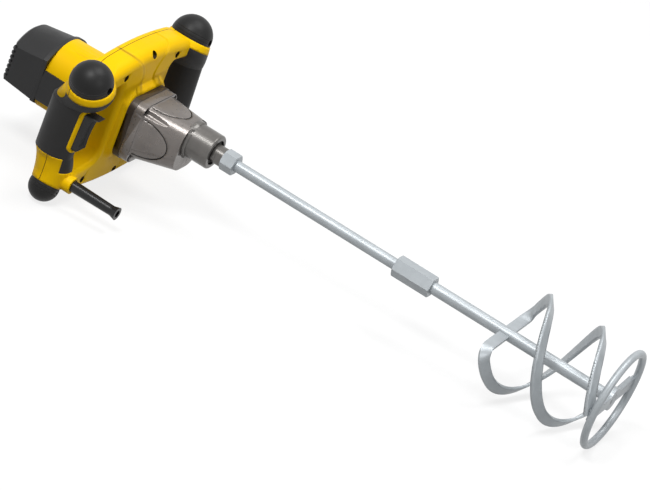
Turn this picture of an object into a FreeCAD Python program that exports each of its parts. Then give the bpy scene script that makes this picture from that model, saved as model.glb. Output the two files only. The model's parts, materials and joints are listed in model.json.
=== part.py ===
"""Two-handled mixing drill with a helical paddle, made piece by piece.

The tool is drawn about its motor line: +X runs forward to the paddle, +Y to the plain grip and +Z up, and
the casing splits across it behind x = 0. At the end each piece is laid down as the tool rests on a floor: on
its two lower bumpers and the paddle's ring, with the origin on the floor under the middle of its box.
"""
import FreeCAD
import Part
import math
import os

from FreeCAD import Vector

# Paddle
RING_DIAMETER = 120.0
RING_BAR = 8.4
RIBBON_WIDTH = 12.5
RIBBON_THICKNESS = 3.5
RIBBON_LENGTH = 135.0
RIBBON_TURNS = 1.0
RIBBON_LEAN = 33.0
RIBBON_BEND = 14.0
BEND_STEPS = 6
TURN_STEPS = 24
PATH_STEP = 0.01
UPPER_ROD_DIAMETER = 13.0
UPPER_ROD_LENGTH = 212.0
LOWER_ROD_DIAMETER = 14.0
LOWER_ROD_LENGTH = 229.0
HEX_FLATS = 22.0
HEX_LENGTH = 16.0
HEX_CHAMFER = 1.2
COUPLING_LENGTH = 47.0
STUD_DIAMETER = 14.0
STUD_LENGTH = 18.0
CROSS_BAR_WIDTH = 13.0
CROSS_BAR_THICKNESS = 5.0

# Spindle and its seats
SPINDLE_RISE = 16.0
SPINDLE_REACH = 12.0
SPINDLE_DIAMETER = 22.0
SPINDLE_FLATS = 19.0
SPINDLE_FLAT_LENGTH = 8.0
SPINDLE_BODY_DIAMETER = 17.0
SPINDLE_SHOULDER_DIAMETER = 21.0
SPINDLE_SHOULDER_LENGTH = 4.0
JOURNAL_DIAMETER = 8.0
SPINDLE_BEARING_DIAMETER = 35.0
SPINDLE_BEARING_WIDTH = 10.0
SEAL_WIDTH = 6.0
CIRCLIP_THICKNESS = 1.2
CIRCLIP_HEIGHT = 2.5
CIRCLIP_DEPTH = 0.8

# Gears
FIRST_MODULE = 0.8
FIRST_PINION_TEETH = 8
FIRST_GEAR_TEETH = 36
FIRST_GEAR_WIDTH = 7.0
SECOND_MODULE = 1.0
SECOND_PINION_TEETH = 10
SECOND_GEAR_TEETH = 30
SECOND_GEAR_WIDTH = 11.0
PRESSURE_ANGLE = 20.0
PROFILE_SHIFT = 0.5
PINION_ADDENDUM = 0.75
GEAR_ADDENDUM = 1.0
TIP_CLEARANCE = 0.25
BACKLASH = 0.12
GEAR_GAP = 2.0
GEAR_ROOM = 0.8
STAGE_GAP = 4.0
PINION_OVERHANG = 1.0
BUSH_WALL = 2.0
BUSH_LENGTH = 6.0
FLANK_CROWDING = 1.5

# Gearbox
FLANGE_SIDE = 74.0
FLANGE_CORNER = 13.0
FLANGE_THICKNESS = 11.0
PLATE_THICKNESS = 8.0
PLATE_LIP = 0.8
GEARBOX_LENGTH = 50.0
GEARBOX_WALL = 3.2
GEARBOX_ROOT_SIDE = 70.0
GEARBOX_ROOT_CORNER = 16.0
GEARBOX_TOP = 36.0
GEARBOX_FRONT_WIDTH = 54.0
GEARBOX_FRONT_BOTTOM = 22.6
GEARBOX_FRONT_CORNER = 20.0
GEARBOX_FRONT_WALL = 4.0
GROOVE_WIDTH = 1.4
GROOVE_DEPTH = 0.9
SHIELD_LENGTH = 37.0
SHIELD_WIDTH = 46.0
NOSE_LENGTH = 31.0
NOSE_DIAMETER = 41.0
NOSE_COLLAR_DIAMETER = 44.6
NOSE_COLLAR_LENGTH = 6.0
NOSE_RECESS = 2.5
NOSE_GAP = 1.5
NOSE_LIP = 2.4
NOSE_MOUTH_DIAMETER = 30.0
NOSE_SLOT_WIDTH = 5.0
GEARBOX_SCREW_SPACING = 60.0
SCREW_HEAD_DIAMETER = 7.0
SCREW_HEAD_HEIGHT = 3.0
SCREW_SHANK_DIAMETER = 4.0
SCREW_RECESS = 4.0
SOCKET_FLATS = 3.0

# Casing
WALL = 3.0
SPLIT_SETBACK = 8.0
YOKE_FRONT = 18.0
YOKE_REAR = 16.0
YOKE_ROUND = 6.0
ARM_RIDGE = 2.0
ARM_HEIGHT = 21.0
ARCH_FALL = 19.0
KEEL_HEIGHT = 12.0
KEEL_RISE = 18.0
ARM_OVERRUN = 25.0
ARM_SHORT = 6.0
UPPER_SCREW_HEIGHT = 66.0
LOWER_SCREW_DEPTH = 60.0
LOWER_SCREW_SIDE = 72.0
BLOCK_WIDTH = 98.0
GAP_HEIGHT = 42.0
GAP_FLARE = 4.0
GAP_ARCH = 15.0
GAP_ROUND = 15.0
GAP_TOP_ROUND = 7.0
HUMP_DEPTH = 24.4
HUMP_WIDTH = 92.0
HUMP_HEIGHT = 116.0
HUMP_CORNER = 26.0
HUMP_ROOT = 10.0
HUMP_LEDGE = 2.0
BARREL_WIDTH = 78.8
BARREL_WALL = 4.0
BARREL_RISE = 4.6
BARREL_FALL = 3.0
BARREL_LIFT = 2.4
BARREL_CREST = 2.8
BARREL_FOOT = 18.0
BARREL_REAR = 83.0
PANEL_THICKNESS = 1.8
PANEL_TOP = 13.0
PANEL_BOTTOM = 24.0
PANEL_ROUND = 2.5
SCREW_POST_DIAMETER = 10.0
SCREW_POST_DEPTH = 10.0
SCREW_POST_BITE = 3.4
CORNER_POST_DEPTH = 15.0
SCREW_WELL_DIAMETER = 8.0

# Rear cover
COVER_LENGTH = 48.0
COVER_WALL = 2.6
COVER_STEP = 0.6
COVER_SIDE_STEP = 1.4
COVER_DRAFT = 3.0
COVER_FALL = 3.4
COVER_ARCH = 16.0
COVER_HEEL = 8.8
COVER_HEEL_WIDTH = 17.0
COVER_BAND_LENGTH = 5.0
COVER_BAND_HEIGHT = 0.6
COVER_BEVEL = 3.0
VENT_COUNT = 7
VENT_WIDTH = 3.0
VENT_PITCH = 6.0
VENT_LENGTH = 6.0
VENT_DEPTH = 5.0
COVER_SCREW_DROP = 14.0

# Grips and bumpers
GRIP_SPACING = 210.0
GRIP_TOP = 38.0
GRIP_BOTTOM = 26.0
GRIP_TOP_DEPTH = 48.0
GRIP_BOTTOM_DEPTH = 45.0
GRIP_WIDTH = 37.0
GRIP_TOP_SETBACK = 9.0
GRIP_BOTTOM_SETBACK = 10.5
FAR_GRIP_TOP_LEAD = 15.0
FAR_GRIP_BOTTOM_LEAD = 21.0
GRIP_SKIN = 2.5
TONGUE_START = 8.0
TONGUE_DEPTH = 44.0
UPPER_BUMPER_DIAMETER = 48.6
UPPER_BUMPER_RISE = 2.0
UPPER_BUMPER_DROP = 19.5
UPPER_BUMPER_LEAD = 4.0
LOWER_BUMPER_DIAMETER = 35.0
LOWER_BUMPER_RISE = 5.0
LOWER_BUMPER_DROP = 9.5
LOWER_BUMPER_LAG = 6.0
BUMPER_TILT = 22.0
COLLAR_SWELL = 2.0
COLLAR_RIM = 1.0
COLLAR_RISE = 9.0
COLLAR_BAND = 8.5
COLLAR_WALL = 4.5
SPIGOT_DIAMETER = 22.0
SPIGOT_HEIGHT = 9.0
BUMPER_SCREW_RISE = 5.0
BUMPER_SCREW_SEAT = 3.0
BUMPER_SCREW_BITE = 7.4

# Trigger and switch
TRIGGER_WIDTH = 16.5
TRIGGER_TOP = 36.0
TRIGGER_BOTTOM = 12.5
TRIGGER_TRAVEL = 6.0
TRIGGER_REAR = 5.0
TRIGGER_STEP = 7.0
TRIGGER_BEAK = 9.0
TRIGGER_BEAK_BOW = 3.0
TRIGGER_BEAK_DROP = 3.6
TRIGGER_HOLLOW = 1.0
TRIGGER_ROUND = 2.0
TRIGGER_CORNER = 4.0
TRIGGER_GAP = 0.35
TRIGGER_FRAME = 3.2
FRAME_RISE = 1.0
PLUNGER_SIDE = 7.0
PLUNGER_LENGTH = 9.0
SWITCH_DEPTH = 19.0
SWITCH_WIDTH = 17.0
SWITCH_HEIGHT = 48.0
SWITCH_GAP = 1.0
SWITCH_RIB_WIDTH = 8.0
SWITCH_RIB_HEIGHT = 20.0

# Cord guard
GUARD_SIDE = 98.0
GUARD_DEPTH = 57.5
GUARD_START = 22.5
GUARD_LENGTH = 60.0
GUARD_ROOT_DIAMETER = 13.2
GUARD_TIP_DIAMETER = 11.6
GUARD_FLARE_DIAMETER = 15.4
GUARD_FLARE_LENGTH = 7.0
GUARD_BORE = 8.4
GUARD_SEAT = 11.0
GLAND_DIAMETER = 20.0

# Motor
FIELD_LENGTH = 54.0
FIELD_FRONT = 8.0
FIELD_SIDE = 11.8
POLE_ARC = 116.0
COIL_CLEAR = 1.0
COIL_DEPTH = 7.0
COIL_END = 7.0
COIL_GAP = 2.0
ARMATURE_AIR_GAP = 0.5
ARMATURE_SLOTS = 14
ARMATURE_SLOT_WIDTH = 2.6
ARMATURE_SLOT_DEPTH = 6.0
WINDING_END = 6.0
WINDING_STEP = 3.5
SHAFT_DIAMETER = 10.0
COMMUTATOR_DIAMETER = 26.0
COMMUTATOR_LENGTH = 20.0
COMMUTATOR_BARS = 28
COMMUTATOR_CUT = 0.6
COMMUTATOR_CUT_DEPTH = 1.0
FAN_GAP = 1.4
FAN_START = 2.0
FAN_WIDTH = 10.0
FAN_DISC = 2.0
FAN_HUB_DIAMETER = 18.0
FAN_BLADES = 12
FAN_BLADE_THICKNESS = 1.6
FRONT_BEARING_DIAMETER = 26.0
FRONT_BEARING_WIDTH = 8.0
REAR_BEARING_DIAMETER = 22.0
REAR_BEARING_WIDTH = 7.0
BEARING_POCKET_WALL = 3.5
BRUSH_SPRING_LENGTH = 5.4
BRUSH_WIDTH = 10.0
BRUSH_THICKNESS = 6.5
HOLDER_WALL = 1.5
HOLDER_START = 17.0
HOLDER_GAP = 1.8
CARRIER_THICKNESS = 4.0
CARRIER_INSET = 0.6
CARRIER_HOLE_DIAMETER = 34.0
BRUSH_SPRING_WIRE = 0.8
BRUSH_SPRING_DIAMETER = 4.8
BRUSH_SPRING_TURNS = 4

# Clearances
RUNNING_FIT = 0.05
SEAT_FIT = 0.02
LOOSE_FIT = 0.1
END_PLAY = 0.5
OVERCUT = 1.0
POST_SETBACK = 1.0

# Stations along the motor line and the spindle line
PLATE_BACK = HUMP_DEPTH
PLATE_FRONT = PLATE_BACK + PLATE_THICKNESS
FLANGE_FRONT = PLATE_FRONT + FLANGE_THICKNESS
GEARBOX_FRONT = FLANGE_FRONT + GEARBOX_LENGTH
NOSE_END = GEARBOX_FRONT + NOSE_LENGTH
SPINDLE_END = NOSE_END + SPINDLE_REACH
HEX_END = SPINDLE_END + HEX_LENGTH
COUPLING_START = HEX_END + UPPER_ROD_LENGTH
COUPLING_END = COUPLING_START + COUPLING_LENGTH
RING_STATION = COUPLING_END + LOWER_ROD_LENGTH
COVER_END = BARREL_REAR + COVER_LENGTH
FIRST_GEAR_START = PLATE_FRONT + GEAR_GAP
SECOND_PINION_START = FIRST_GEAR_START + FIRST_GEAR_WIDTH + STAGE_GAP
SECOND_GEAR_START = SECOND_PINION_START + PINION_OVERHANG
SECOND_GEAR_END = SECOND_GEAR_START + SECOND_GEAR_WIDTH
SECOND_PINION_END = SECOND_GEAR_END + PINION_OVERHANG
SEAL_END = NOSE_END - NOSE_LIP
SEAL_START = SEAL_END - SEAL_WIDTH
SPINDLE_BEARING_END = SEAL_START - 2.0 * LOOSE_FIT
SPINDLE_BEARING_START = SPINDLE_BEARING_END - SPINDLE_BEARING_WIDTH
HALF_SPACING = GRIP_SPACING / 2.0
CROWN_HEIGHT = GAP_HEIGHT + GAP_FLARE + ARM_HEIGHT + ARCH_FALL
KEEL_DEPTH = GAP_HEIGHT + GAP_FLARE + KEEL_HEIGHT + KEEL_RISE
FIELD_BORE = BARREL_WIDTH - 2.0 * (BARREL_WALL + LOOSE_FIT + FIELD_SIDE)
COIL_INNER = FIELD_BORE + 2.0 * COIL_CLEAR
COIL_OUTER = COIL_INNER + 2.0 * COIL_DEPTH
WINDING_DIAMETER = FIELD_BORE - 2.0 * WINDING_STEP
FAN_DIAMETER = BARREL_WIDTH - 2.0 * (BARREL_LIFT + BARREL_WALL + FAN_GAP)
HOLDER_END = BARREL_WIDTH / 2.0 - COVER_WALL - HOLDER_GAP
BRUSH_LENGTH = HOLDER_END - HOLDER_WALL - 2.0 * LOOSE_FIT - BRUSH_SPRING_LENGTH - COMMUTATOR_DIAMETER / 2.0
RING_RADIUS = (RING_DIAMETER - RING_BAR) / 2.0

FORWARD = Vector(1, 0, 0)


# Small helpers


def rod(diameter, start, end, y=0.0, z=0.0):
    """Round bar along X from one station to another."""
    return Part.makeCylinder(diameter / 2.0, end - start, Vector(start, y, z), FORWARD)


def sleeve(outer, inner, start, end, y=0.0, z=0.0):
    """Round tube along X."""
    return rod(outer, start, end, y, z).cut(rod(inner, start - OVERCUT, end + OVERCUT, y, z))


def block(start, end, y_low, y_high, z_low, z_high):
    """Box between two corners."""
    return Part.makeBox(end - start, y_high - y_low, z_high - z_low, Vector(start, y_low, z_low))


def rounded_wire(x, y_half, z_low, z_high, corner, foot=None):
    """Rounded rectangle in the plane at x, which may have another radius at its foot."""
    edges = []
    ends = []
    for side, way in ((1, 1), (-1, 1), (-1, -1), (1, -1)):
        radius = corner if way > 0 or foot is None else foot
        y = side * (y_half - radius)
        z = z_high - radius if way > 0 else z_low + radius
        diagonal = radius * math.sqrt(0.5)
        upright = Vector(x, y + side * radius, z)
        level = Vector(x, y, z + way * radius)
        middle = Vector(x, y + side * diagonal, z + way * diagonal)
        ends.append((upright, middle, level) if side * way > 0 else (level, middle, upright))
    for index, (first, middle, last) in enumerate(ends):
        edges.append(Part.Arc(first, middle, last).toShape())
        edges.append(Part.LineSegment(last, ends[(index + 1) % len(ends)][0]).toShape())
    return Part.Wire(edges)


def rounded_block(start, end, y_half, z_low, z_high, corner):
    """Bar of rounded rectangular section along X."""
    face = Part.Face(rounded_wire(start, y_half, z_low, z_high, corner))
    return face.extrude(FORWARD * (end - start))


def oval(centre, long_way, long_radius, across, across_radius):
    """Closed oval, begun at the end of its long axis."""
    curve = Part.Ellipse()
    curve.Center = centre
    curve.Axis = long_way.cross(across)
    curve.XAxis = long_way
    curve.MajorRadius = long_radius
    curve.MinorRadius = across_radius
    return Part.Wire(curve.toShape())


def hexagon(flats, start, end, z):
    """Hexagonal bar along X with a flat on top."""
    radius = flats / math.sqrt(3.0)
    angles = [math.radians(60.0 * step) for step in range(7)]
    points = [Vector(start, radius * math.cos(a), z + radius * math.sin(a)) for a in angles]
    return Part.Face(Part.makePolygon(points)).extrude(FORWARD * (end - start))


def chamfered_hexagon(flats, start, end, z):
    """Hexagonal bar with its corners turned down at both ends."""
    radius = flats / math.sqrt(3.0)
    length = end - start
    slope = math.tan(math.radians(30.0))
    cone = Part.makeCone(radius - HEX_CHAMFER, radius - HEX_CHAMFER + length / slope, length,
                         Vector(start, 0, z), FORWARD)
    back = Part.makeCone(radius - HEX_CHAMFER + length / slope, radius - HEX_CHAMFER, length,
                         Vector(start, 0, z), FORWARD)
    return hexagon(flats, start, end, z).common(cone).common(back)


def largest(shape):
    """The biggest solid of a cut shape."""
    return max(shape.Solids, key=lambda solid: solid.Volume)


def fused(shapes):
    """One solid from overlapping ones, without the seams between them."""
    return shapes[0].multiFuse(shapes[1:]).removeSplitter()


def screw(head_at, way, length):
    """Socket-head screw: the head's seat is at head_at and the shank runs on along way."""
    head = Part.makeCylinder(SCREW_HEAD_DIAMETER / 2.0, SCREW_HEAD_HEIGHT, head_at, way * -1.0)
    shank = Part.makeCylinder(SCREW_SHANK_DIAMETER / 2.0, length, head_at, way)
    top = head_at - way * SCREW_HEAD_HEIGHT
    socket = Part.makeCylinder(SOCKET_FLATS / 2.0, SCREW_HEAD_HEIGHT / 2.0, top, way)
    return head.fuse(shank).cut(socket).removeSplitter()


def screw_well(head_at, way, shank_length, well_diameter, well_length):
    """Room for a screw: a wide well over its head and a close hole for its shank."""
    well = Part.makeCylinder(well_diameter / 2.0, well_length, head_at, way * -1.0)
    hole_radius = SCREW_SHANK_DIAMETER / 2.0 + RUNNING_FIT
    hole = Part.makeCylinder(hole_radius, shank_length + RUNNING_FIT, head_at, way)
    return well.fuse(hole)


# Gears


def gear_radii(module, teeth, mate_teeth, shift, addendum, mate_addendum):
    """Tip and root radius of a gear that runs with its mate at the plain centre distance."""
    pitch = module * teeth / 2.0
    mate_tip = module * (mate_teeth / 2.0 + mate_addendum - shift)
    distance = module * (teeth + mate_teeth) / 2.0
    return pitch + module * (addendum + shift), distance - mate_tip - TIP_CLEARANCE * module


def toothed(module, teeth, shift, tip, root, start, width, y, z, phase):
    """Spur gear with involute flanks; phase is the angle of one tooth's middle, from +Y towards +Z."""
    pressure = math.radians(PRESSURE_ANGLE)
    pitch = module * teeth / 2.0
    base = pitch * math.cos(pressure)
    thickness = module * (math.pi / 2.0 + 2.0 * shift * math.tan(pressure)) - BACKLASH / 2.0
    half_at_base = thickness / (2.0 * pitch) + math.tan(pressure) - pressure

    def point(radius, angle):
        return Vector(start, y + radius * math.cos(angle), z + radius * math.sin(angle))

    def half_angle(radius):
        slope = math.acos(min(1.0, base / radius))
        return half_at_base - math.tan(slope) + slope

    flank_start = max(base, root)
    flank_steps = 5
    shares = [(step / flank_steps) ** FLANK_CROWDING for step in range(flank_steps + 1)]
    radii = [flank_start + (tip - flank_start) * share for share in shares]
    pitch_angle = 2.0 * math.pi / teeth
    edges = []
    for tooth in range(teeth):
        middle = phase + tooth * pitch_angle
        rise = [point(r, middle - half_angle(r)) for r in radii]
        fall = [point(r, middle + half_angle(r)) for r in reversed(radii)]
        foot = half_angle(flank_start)
        if root < flank_start:
            edges.append(Part.LineSegment(point(root, middle - foot), rise[0]).toShape())
        flank = Part.BSplineCurve()
        flank.interpolate(rise)
        edges.append(flank.toShape())
        edges.append(Part.Arc(rise[-1], point(tip, middle), fall[0]).toShape())
        flank = Part.BSplineCurve()
        flank.interpolate(fall)
        edges.append(flank.toShape())
        if root < flank_start:
            edges.append(Part.LineSegment(fall[-1], point(root, middle + foot)).toShape())
        next_foot = point(root, middle + pitch_angle - foot)
        valley = point(root, middle + pitch_angle / 2.0)
        edges.append(Part.Arc(point(root, middle + foot), valley, next_foot).toShape())
    return Part.Face(Part.Wire(edges)).extrude(FORWARD * width)


FIRST_DISTANCE = FIRST_MODULE * (FIRST_PINION_TEETH + FIRST_GEAR_TEETH) / 2.0
SECOND_DISTANCE = SECOND_MODULE * (SECOND_PINION_TEETH + SECOND_GEAR_TEETH) / 2.0
MIDDLE_Z = (FIRST_DISTANCE ** 2 - SECOND_DISTANCE ** 2 + SPINDLE_RISE ** 2) / (2.0 * SPINDLE_RISE)
MIDDLE_Y = math.sqrt(FIRST_DISTANCE ** 2 - MIDDLE_Z ** 2)
TO_MIDDLE = math.atan2(MIDDLE_Z, MIDDLE_Y)
TO_SPINDLE = math.atan2(SPINDLE_RISE - MIDDLE_Z, -MIDDLE_Y)


# Turning pieces


def armature_shaft():
    """Motor shaft with the first pinion cut on its front end."""
    tip, root = gear_radii(FIRST_MODULE, FIRST_PINION_TEETH, FIRST_GEAR_TEETH, PROFILE_SHIFT,
                           PINION_ADDENDUM, GEAR_ADDENDUM)
    rear = -(COVER_END - COVER_WALL - END_PLAY)
    rear_step = -(COVER_END - COVER_WALL - REAR_BEARING_WIDTH - END_PLAY)
    front_step = PLATE_BACK - WALL
    teeth_start = FIRST_GEAR_START - PINION_OVERHANG
    journal = rod(JOURNAL_DIAMETER, rear, rear_step)
    body = rod(SHAFT_DIAMETER, rear_step, front_step)
    neck = rod(2.0 * root, front_step, teeth_start)
    pinion = toothed(FIRST_MODULE, FIRST_PINION_TEETH, PROFILE_SHIFT, tip, root, teeth_start,
                     FIRST_GEAR_WIDTH + 2.0 * PINION_OVERHANG, 0.0, 0.0, TO_MIDDLE)
    return fused([journal, body, neck, pinion])


def armature_core():
    """Slotted iron stack on the motor shaft."""
    outer = FIELD_BORE - 2.0 * ARMATURE_AIR_GAP
    start = -(FIELD_FRONT + FIELD_LENGTH)
    core = sleeve(outer, SHAFT_DIAMETER + 2.0 * SEAT_FIT, start, -FIELD_FRONT)
    slot = block(start - OVERCUT, -FIELD_FRONT + OVERCUT, outer / 2.0 - ARMATURE_SLOT_DEPTH, outer,
                 -ARMATURE_SLOT_WIDTH / 2.0, ARMATURE_SLOT_WIDTH / 2.0)
    slots = []
    for index in range(ARMATURE_SLOTS):
        turned = slot.copy()
        turned.rotate(Vector(0, 0, 0), FORWARD, 360.0 * index / ARMATURE_SLOTS)
        slots.append(turned)
    return core.cut(slots)


def armature_windings():
    """Rounded heads of the armature's windings, one at each end of the stack."""
    heads = []
    bore = SHAFT_DIAMETER + 2.0 * SEAT_FIT
    for start in (-(FIELD_FRONT + FIELD_LENGTH + WINDING_END), -FIELD_FRONT):
        heads.append(sleeve(WINDING_DIAMETER, bore, start, start + WINDING_END))
    return Part.makeCompound(heads)


def commutator():
    """Copper bars round the shaft, cut apart at the surface."""
    start = brush_station() - COMMUTATOR_LENGTH / 2.0
    end = start + COMMUTATOR_LENGTH
    drum = sleeve(COMMUTATOR_DIAMETER, SHAFT_DIAMETER + 2.0 * SEAT_FIT, start, end)
    reach = COMMUTATOR_DIAMETER / 2.0
    cut = block(start - OVERCUT, end + OVERCUT, reach - COMMUTATOR_CUT_DEPTH, reach + OVERCUT,
                -COMMUTATOR_CUT / 2.0, COMMUTATOR_CUT / 2.0)
    cuts = []
    for index in range(COMMUTATOR_BARS):
        turned = cut.copy()
        turned.rotate(Vector(0, 0, 0), FORWARD, 360.0 * (index + 0.5) / COMMUTATOR_BARS)
        cuts.append(turned)
    return drum.cut(cuts)


def fan():
    """Cooling fan: a disc with straight blades on a hub."""
    end = FAN_START + FAN_WIDTH
    hub = rod(FAN_HUB_DIAMETER, FAN_START, end)
    disc = rod(FAN_DIAMETER, end - FAN_DISC, end)
    shapes = [hub, disc]
    for index in range(FAN_BLADES):
        blade = block(FAN_START, end - FAN_DISC / 2.0, FAN_HUB_DIAMETER / 2.0 - OVERCUT,
                      FAN_DIAMETER / 2.0 - OVERCUT,
                      -FAN_BLADE_THICKNESS / 2.0, FAN_BLADE_THICKNESS / 2.0)
        blade.rotate(Vector(0, 0, 0), FORWARD, 360.0 * index / FAN_BLADES)
        shapes.append(blade)
    return fused(shapes).cut(rod(SHAFT_DIAMETER + 2.0 * SEAT_FIT, FAN_START - OVERCUT, end + OVERCUT))


def middle_shaft():
    """Intermediate shaft with the second pinion cut on it."""
    tip, root = gear_radii(SECOND_MODULE, SECOND_PINION_TEETH, SECOND_GEAR_TEETH, PROFILE_SHIFT,
                           PINION_ADDENDUM, GEAR_ADDENDUM)
    rear = PLATE_FRONT - BUSH_LENGTH + END_PLAY
    front = front_bush_start() + BUSH_LENGTH
    shaft = rod(JOURNAL_DIAMETER, rear, front, MIDDLE_Y, MIDDLE_Z)
    pinion = toothed(SECOND_MODULE, SECOND_PINION_TEETH, PROFILE_SHIFT, tip, root, SECOND_PINION_START,
                     SECOND_PINION_END - SECOND_PINION_START, MIDDLE_Y, MIDDLE_Z, TO_SPINDLE)
    return fused([shaft, pinion])


def middle_gear():
    """Large gear of the first stage, on the intermediate shaft."""
    tip, root = gear_radii(FIRST_MODULE, FIRST_GEAR_TEETH, FIRST_PINION_TEETH, -PROFILE_SHIFT,
                           GEAR_ADDENDUM, PINION_ADDENDUM)
    phase = TO_MIDDLE + math.pi + math.pi / FIRST_GEAR_TEETH
    gear = toothed(FIRST_MODULE, FIRST_GEAR_TEETH, -PROFILE_SHIFT, tip, root, FIRST_GEAR_START,
                   FIRST_GEAR_WIDTH, MIDDLE_Y, MIDDLE_Z, phase)
    bore = rod(JOURNAL_DIAMETER + 2.0 * SEAT_FIT, FIRST_GEAR_START - OVERCUT,
               FIRST_GEAR_START + FIRST_GEAR_WIDTH + OVERCUT, MIDDLE_Y, MIDDLE_Z)
    return gear.cut(bore)


def spindle():
    """Output spindle: rear journal, gear seat, shoulder, bearing seat and threaded front end."""
    gear_seat_start = SECOND_GEAR_START - PINION_OVERHANG
    shoulder_end = SECOND_GEAR_END + SPINDLE_SHOULDER_LENGTH
    head_start = SPINDLE_BEARING_END + LOOSE_FIT
    z = SPINDLE_RISE
    body = fused([
        rod(JOURNAL_DIAMETER, PLATE_FRONT - BUSH_LENGTH + END_PLAY, gear_seat_start, 0.0, z),
        rod(SPINDLE_BODY_DIAMETER, gear_seat_start, head_start, 0.0, z),
        rod(SPINDLE_SHOULDER_DIAMETER, SECOND_GEAR_END, shoulder_end, 0.0, z),
        rod(SPINDLE_DIAMETER, head_start, SPINDLE_END, 0.0, z),
    ])
    groove_end = SPINDLE_BEARING_START - LOOSE_FIT
    groove = sleeve(SPINDLE_SHOULDER_DIAMETER, SPINDLE_BODY_DIAMETER - 2.0 * CIRCLIP_DEPTH,
                    groove_end - CIRCLIP_THICKNESS, groove_end, 0.0, z)
    bore_start = SPINDLE_END - STUD_LENGTH - OVERCUT
    bore = rod(STUD_DIAMETER + 2.0 * SEAT_FIT, bore_start, SPINDLE_END + OVERCUT, 0.0, z)
    flat_start = SPINDLE_END - SPINDLE_FLAT_LENGTH
    cuts = [groove, bore]
    for side in (1.0, -1.0):
        near = side * SPINDLE_FLATS / 2.0
        far = side * SPINDLE_DIAMETER
        cuts.append(block(flat_start, SPINDLE_END + OVERCUT, min(near, far), max(near, far),
                          z - SPINDLE_DIAMETER, z + SPINDLE_DIAMETER))
    return body.cut(cuts)


def spindle_gear():
    """Large gear of the second stage, pressed on the spindle."""
    tip, root = gear_radii(SECOND_MODULE, SECOND_GEAR_TEETH, SECOND_PINION_TEETH, -PROFILE_SHIFT,
                           GEAR_ADDENDUM, PINION_ADDENDUM)
    phase = TO_SPINDLE + math.pi + math.pi / SECOND_GEAR_TEETH
    gear = toothed(SECOND_MODULE, SECOND_GEAR_TEETH, -PROFILE_SHIFT, tip, root, SECOND_GEAR_START,
                   SECOND_GEAR_WIDTH, 0.0, SPINDLE_RISE, phase)
    bore = rod(SPINDLE_BODY_DIAMETER + 2.0 * SEAT_FIT, SECOND_GEAR_START - OVERCUT, SECOND_GEAR_END + OVERCUT,
               0.0, SPINDLE_RISE)
    return gear.cut(bore)


def spindle_circlip():
    """Open snap ring behind the spindle's bearing."""
    end = SPINDLE_BEARING_START - 2.0 * LOOSE_FIT
    start = end - CIRCLIP_THICKNESS + LOOSE_FIT
    inner = SPINDLE_BODY_DIAMETER - 2.0 * CIRCLIP_DEPTH + 2.0 * SEAT_FIT
    ring = sleeve(inner + 2.0 * (CIRCLIP_HEIGHT + CIRCLIP_DEPTH), inner, start, end, 0.0, SPINDLE_RISE)
    opening = block(start - OVERCUT, end + OVERCUT, -CIRCLIP_HEIGHT, CIRCLIP_HEIGHT,
                    SPINDLE_RISE, SPINDLE_RISE + SPINDLE_DIAMETER)
    return ring.cut(opening)


# Paddle


def paddle_hex():
    """Hexagon that takes the wrench, with the stud that screws into the spindle."""
    nut = chamfered_hexagon(HEX_FLATS, SPINDLE_END, HEX_END, SPINDLE_RISE)
    stud = rod(STUD_DIAMETER, SPINDLE_END - STUD_LENGTH, SPINDLE_END + HEX_LENGTH / 2.0, 0.0, SPINDLE_RISE)
    return fused([nut, stud])


def upper_rod():
    """Rod from the hexagon to the coupling."""
    return rod(UPPER_ROD_DIAMETER, HEX_END, COUPLING_START, 0.0, SPINDLE_RISE)


def coupling_nut():
    """Long hexagon that joins the two rods."""
    return chamfered_hexagon(HEX_FLATS, COUPLING_START, COUPLING_END, SPINDLE_RISE)


def lower_rod():
    """Rod from the coupling through the cross bar to the ring's plane."""
    return rod(LOWER_ROD_DIAMETER, COUPLING_END, RING_STATION, 0.0, SPINDLE_RISE)


def ring():
    """Round bar bent to a closed ring at the paddle's foot."""
    return Part.makeTorus(RING_RADIUS, RING_BAR / 2.0, Vector(RING_STATION, 0, SPINDLE_RISE), FORWARD)


def cross_bar():
    """Flat bar across the ring, which carries it on the rod."""
    back = RING_STATION - CROSS_BAR_THICKNESS
    bar = block(back, RING_STATION, -RING_RADIUS, RING_RADIUS,
                SPINDLE_RISE - CROSS_BAR_WIDTH / 2.0, SPINDLE_RISE + CROSS_BAR_WIDTH / 2.0)
    hole = rod(LOWER_ROD_DIAMETER, back - OVERCUT, RING_STATION + OVERCUT, 0.0, SPINDLE_RISE)
    boss = rod(LOWER_ROD_DIAMETER + CROSS_BAR_WIDTH, back, RING_STATION, 0.0, SPINDLE_RISE)
    return largest(fused([bar, boss]).cut([hole, ring()]))


def ribbon_path(length, arm, path_radius, pitch_angle):
    """Point of a ribbon's middle line, as distance along the axis, radius and angle turned.

    The line leaves the rod as a straight arm, turns over with the bend's radius and goes on as a helix.
    """
    bend_length = RIBBON_BEND * math.pi / 2.0
    if length < arm:
        return 0.0, path_radius - RIBBON_BEND - arm + length, 0.0
    if length < arm + bend_length:
        turned = (length - arm) / RIBBON_BEND
        radius = path_radius - RIBBON_BEND * (1.0 - math.sin(turned))
        run = RIBBON_BEND * (1.0 - math.cos(turned))
    else:
        radius = path_radius
        run = RIBBON_BEND + length - arm - bend_length
    return run * math.sin(pitch_angle), radius, run * math.cos(pitch_angle) / path_radius


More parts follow.
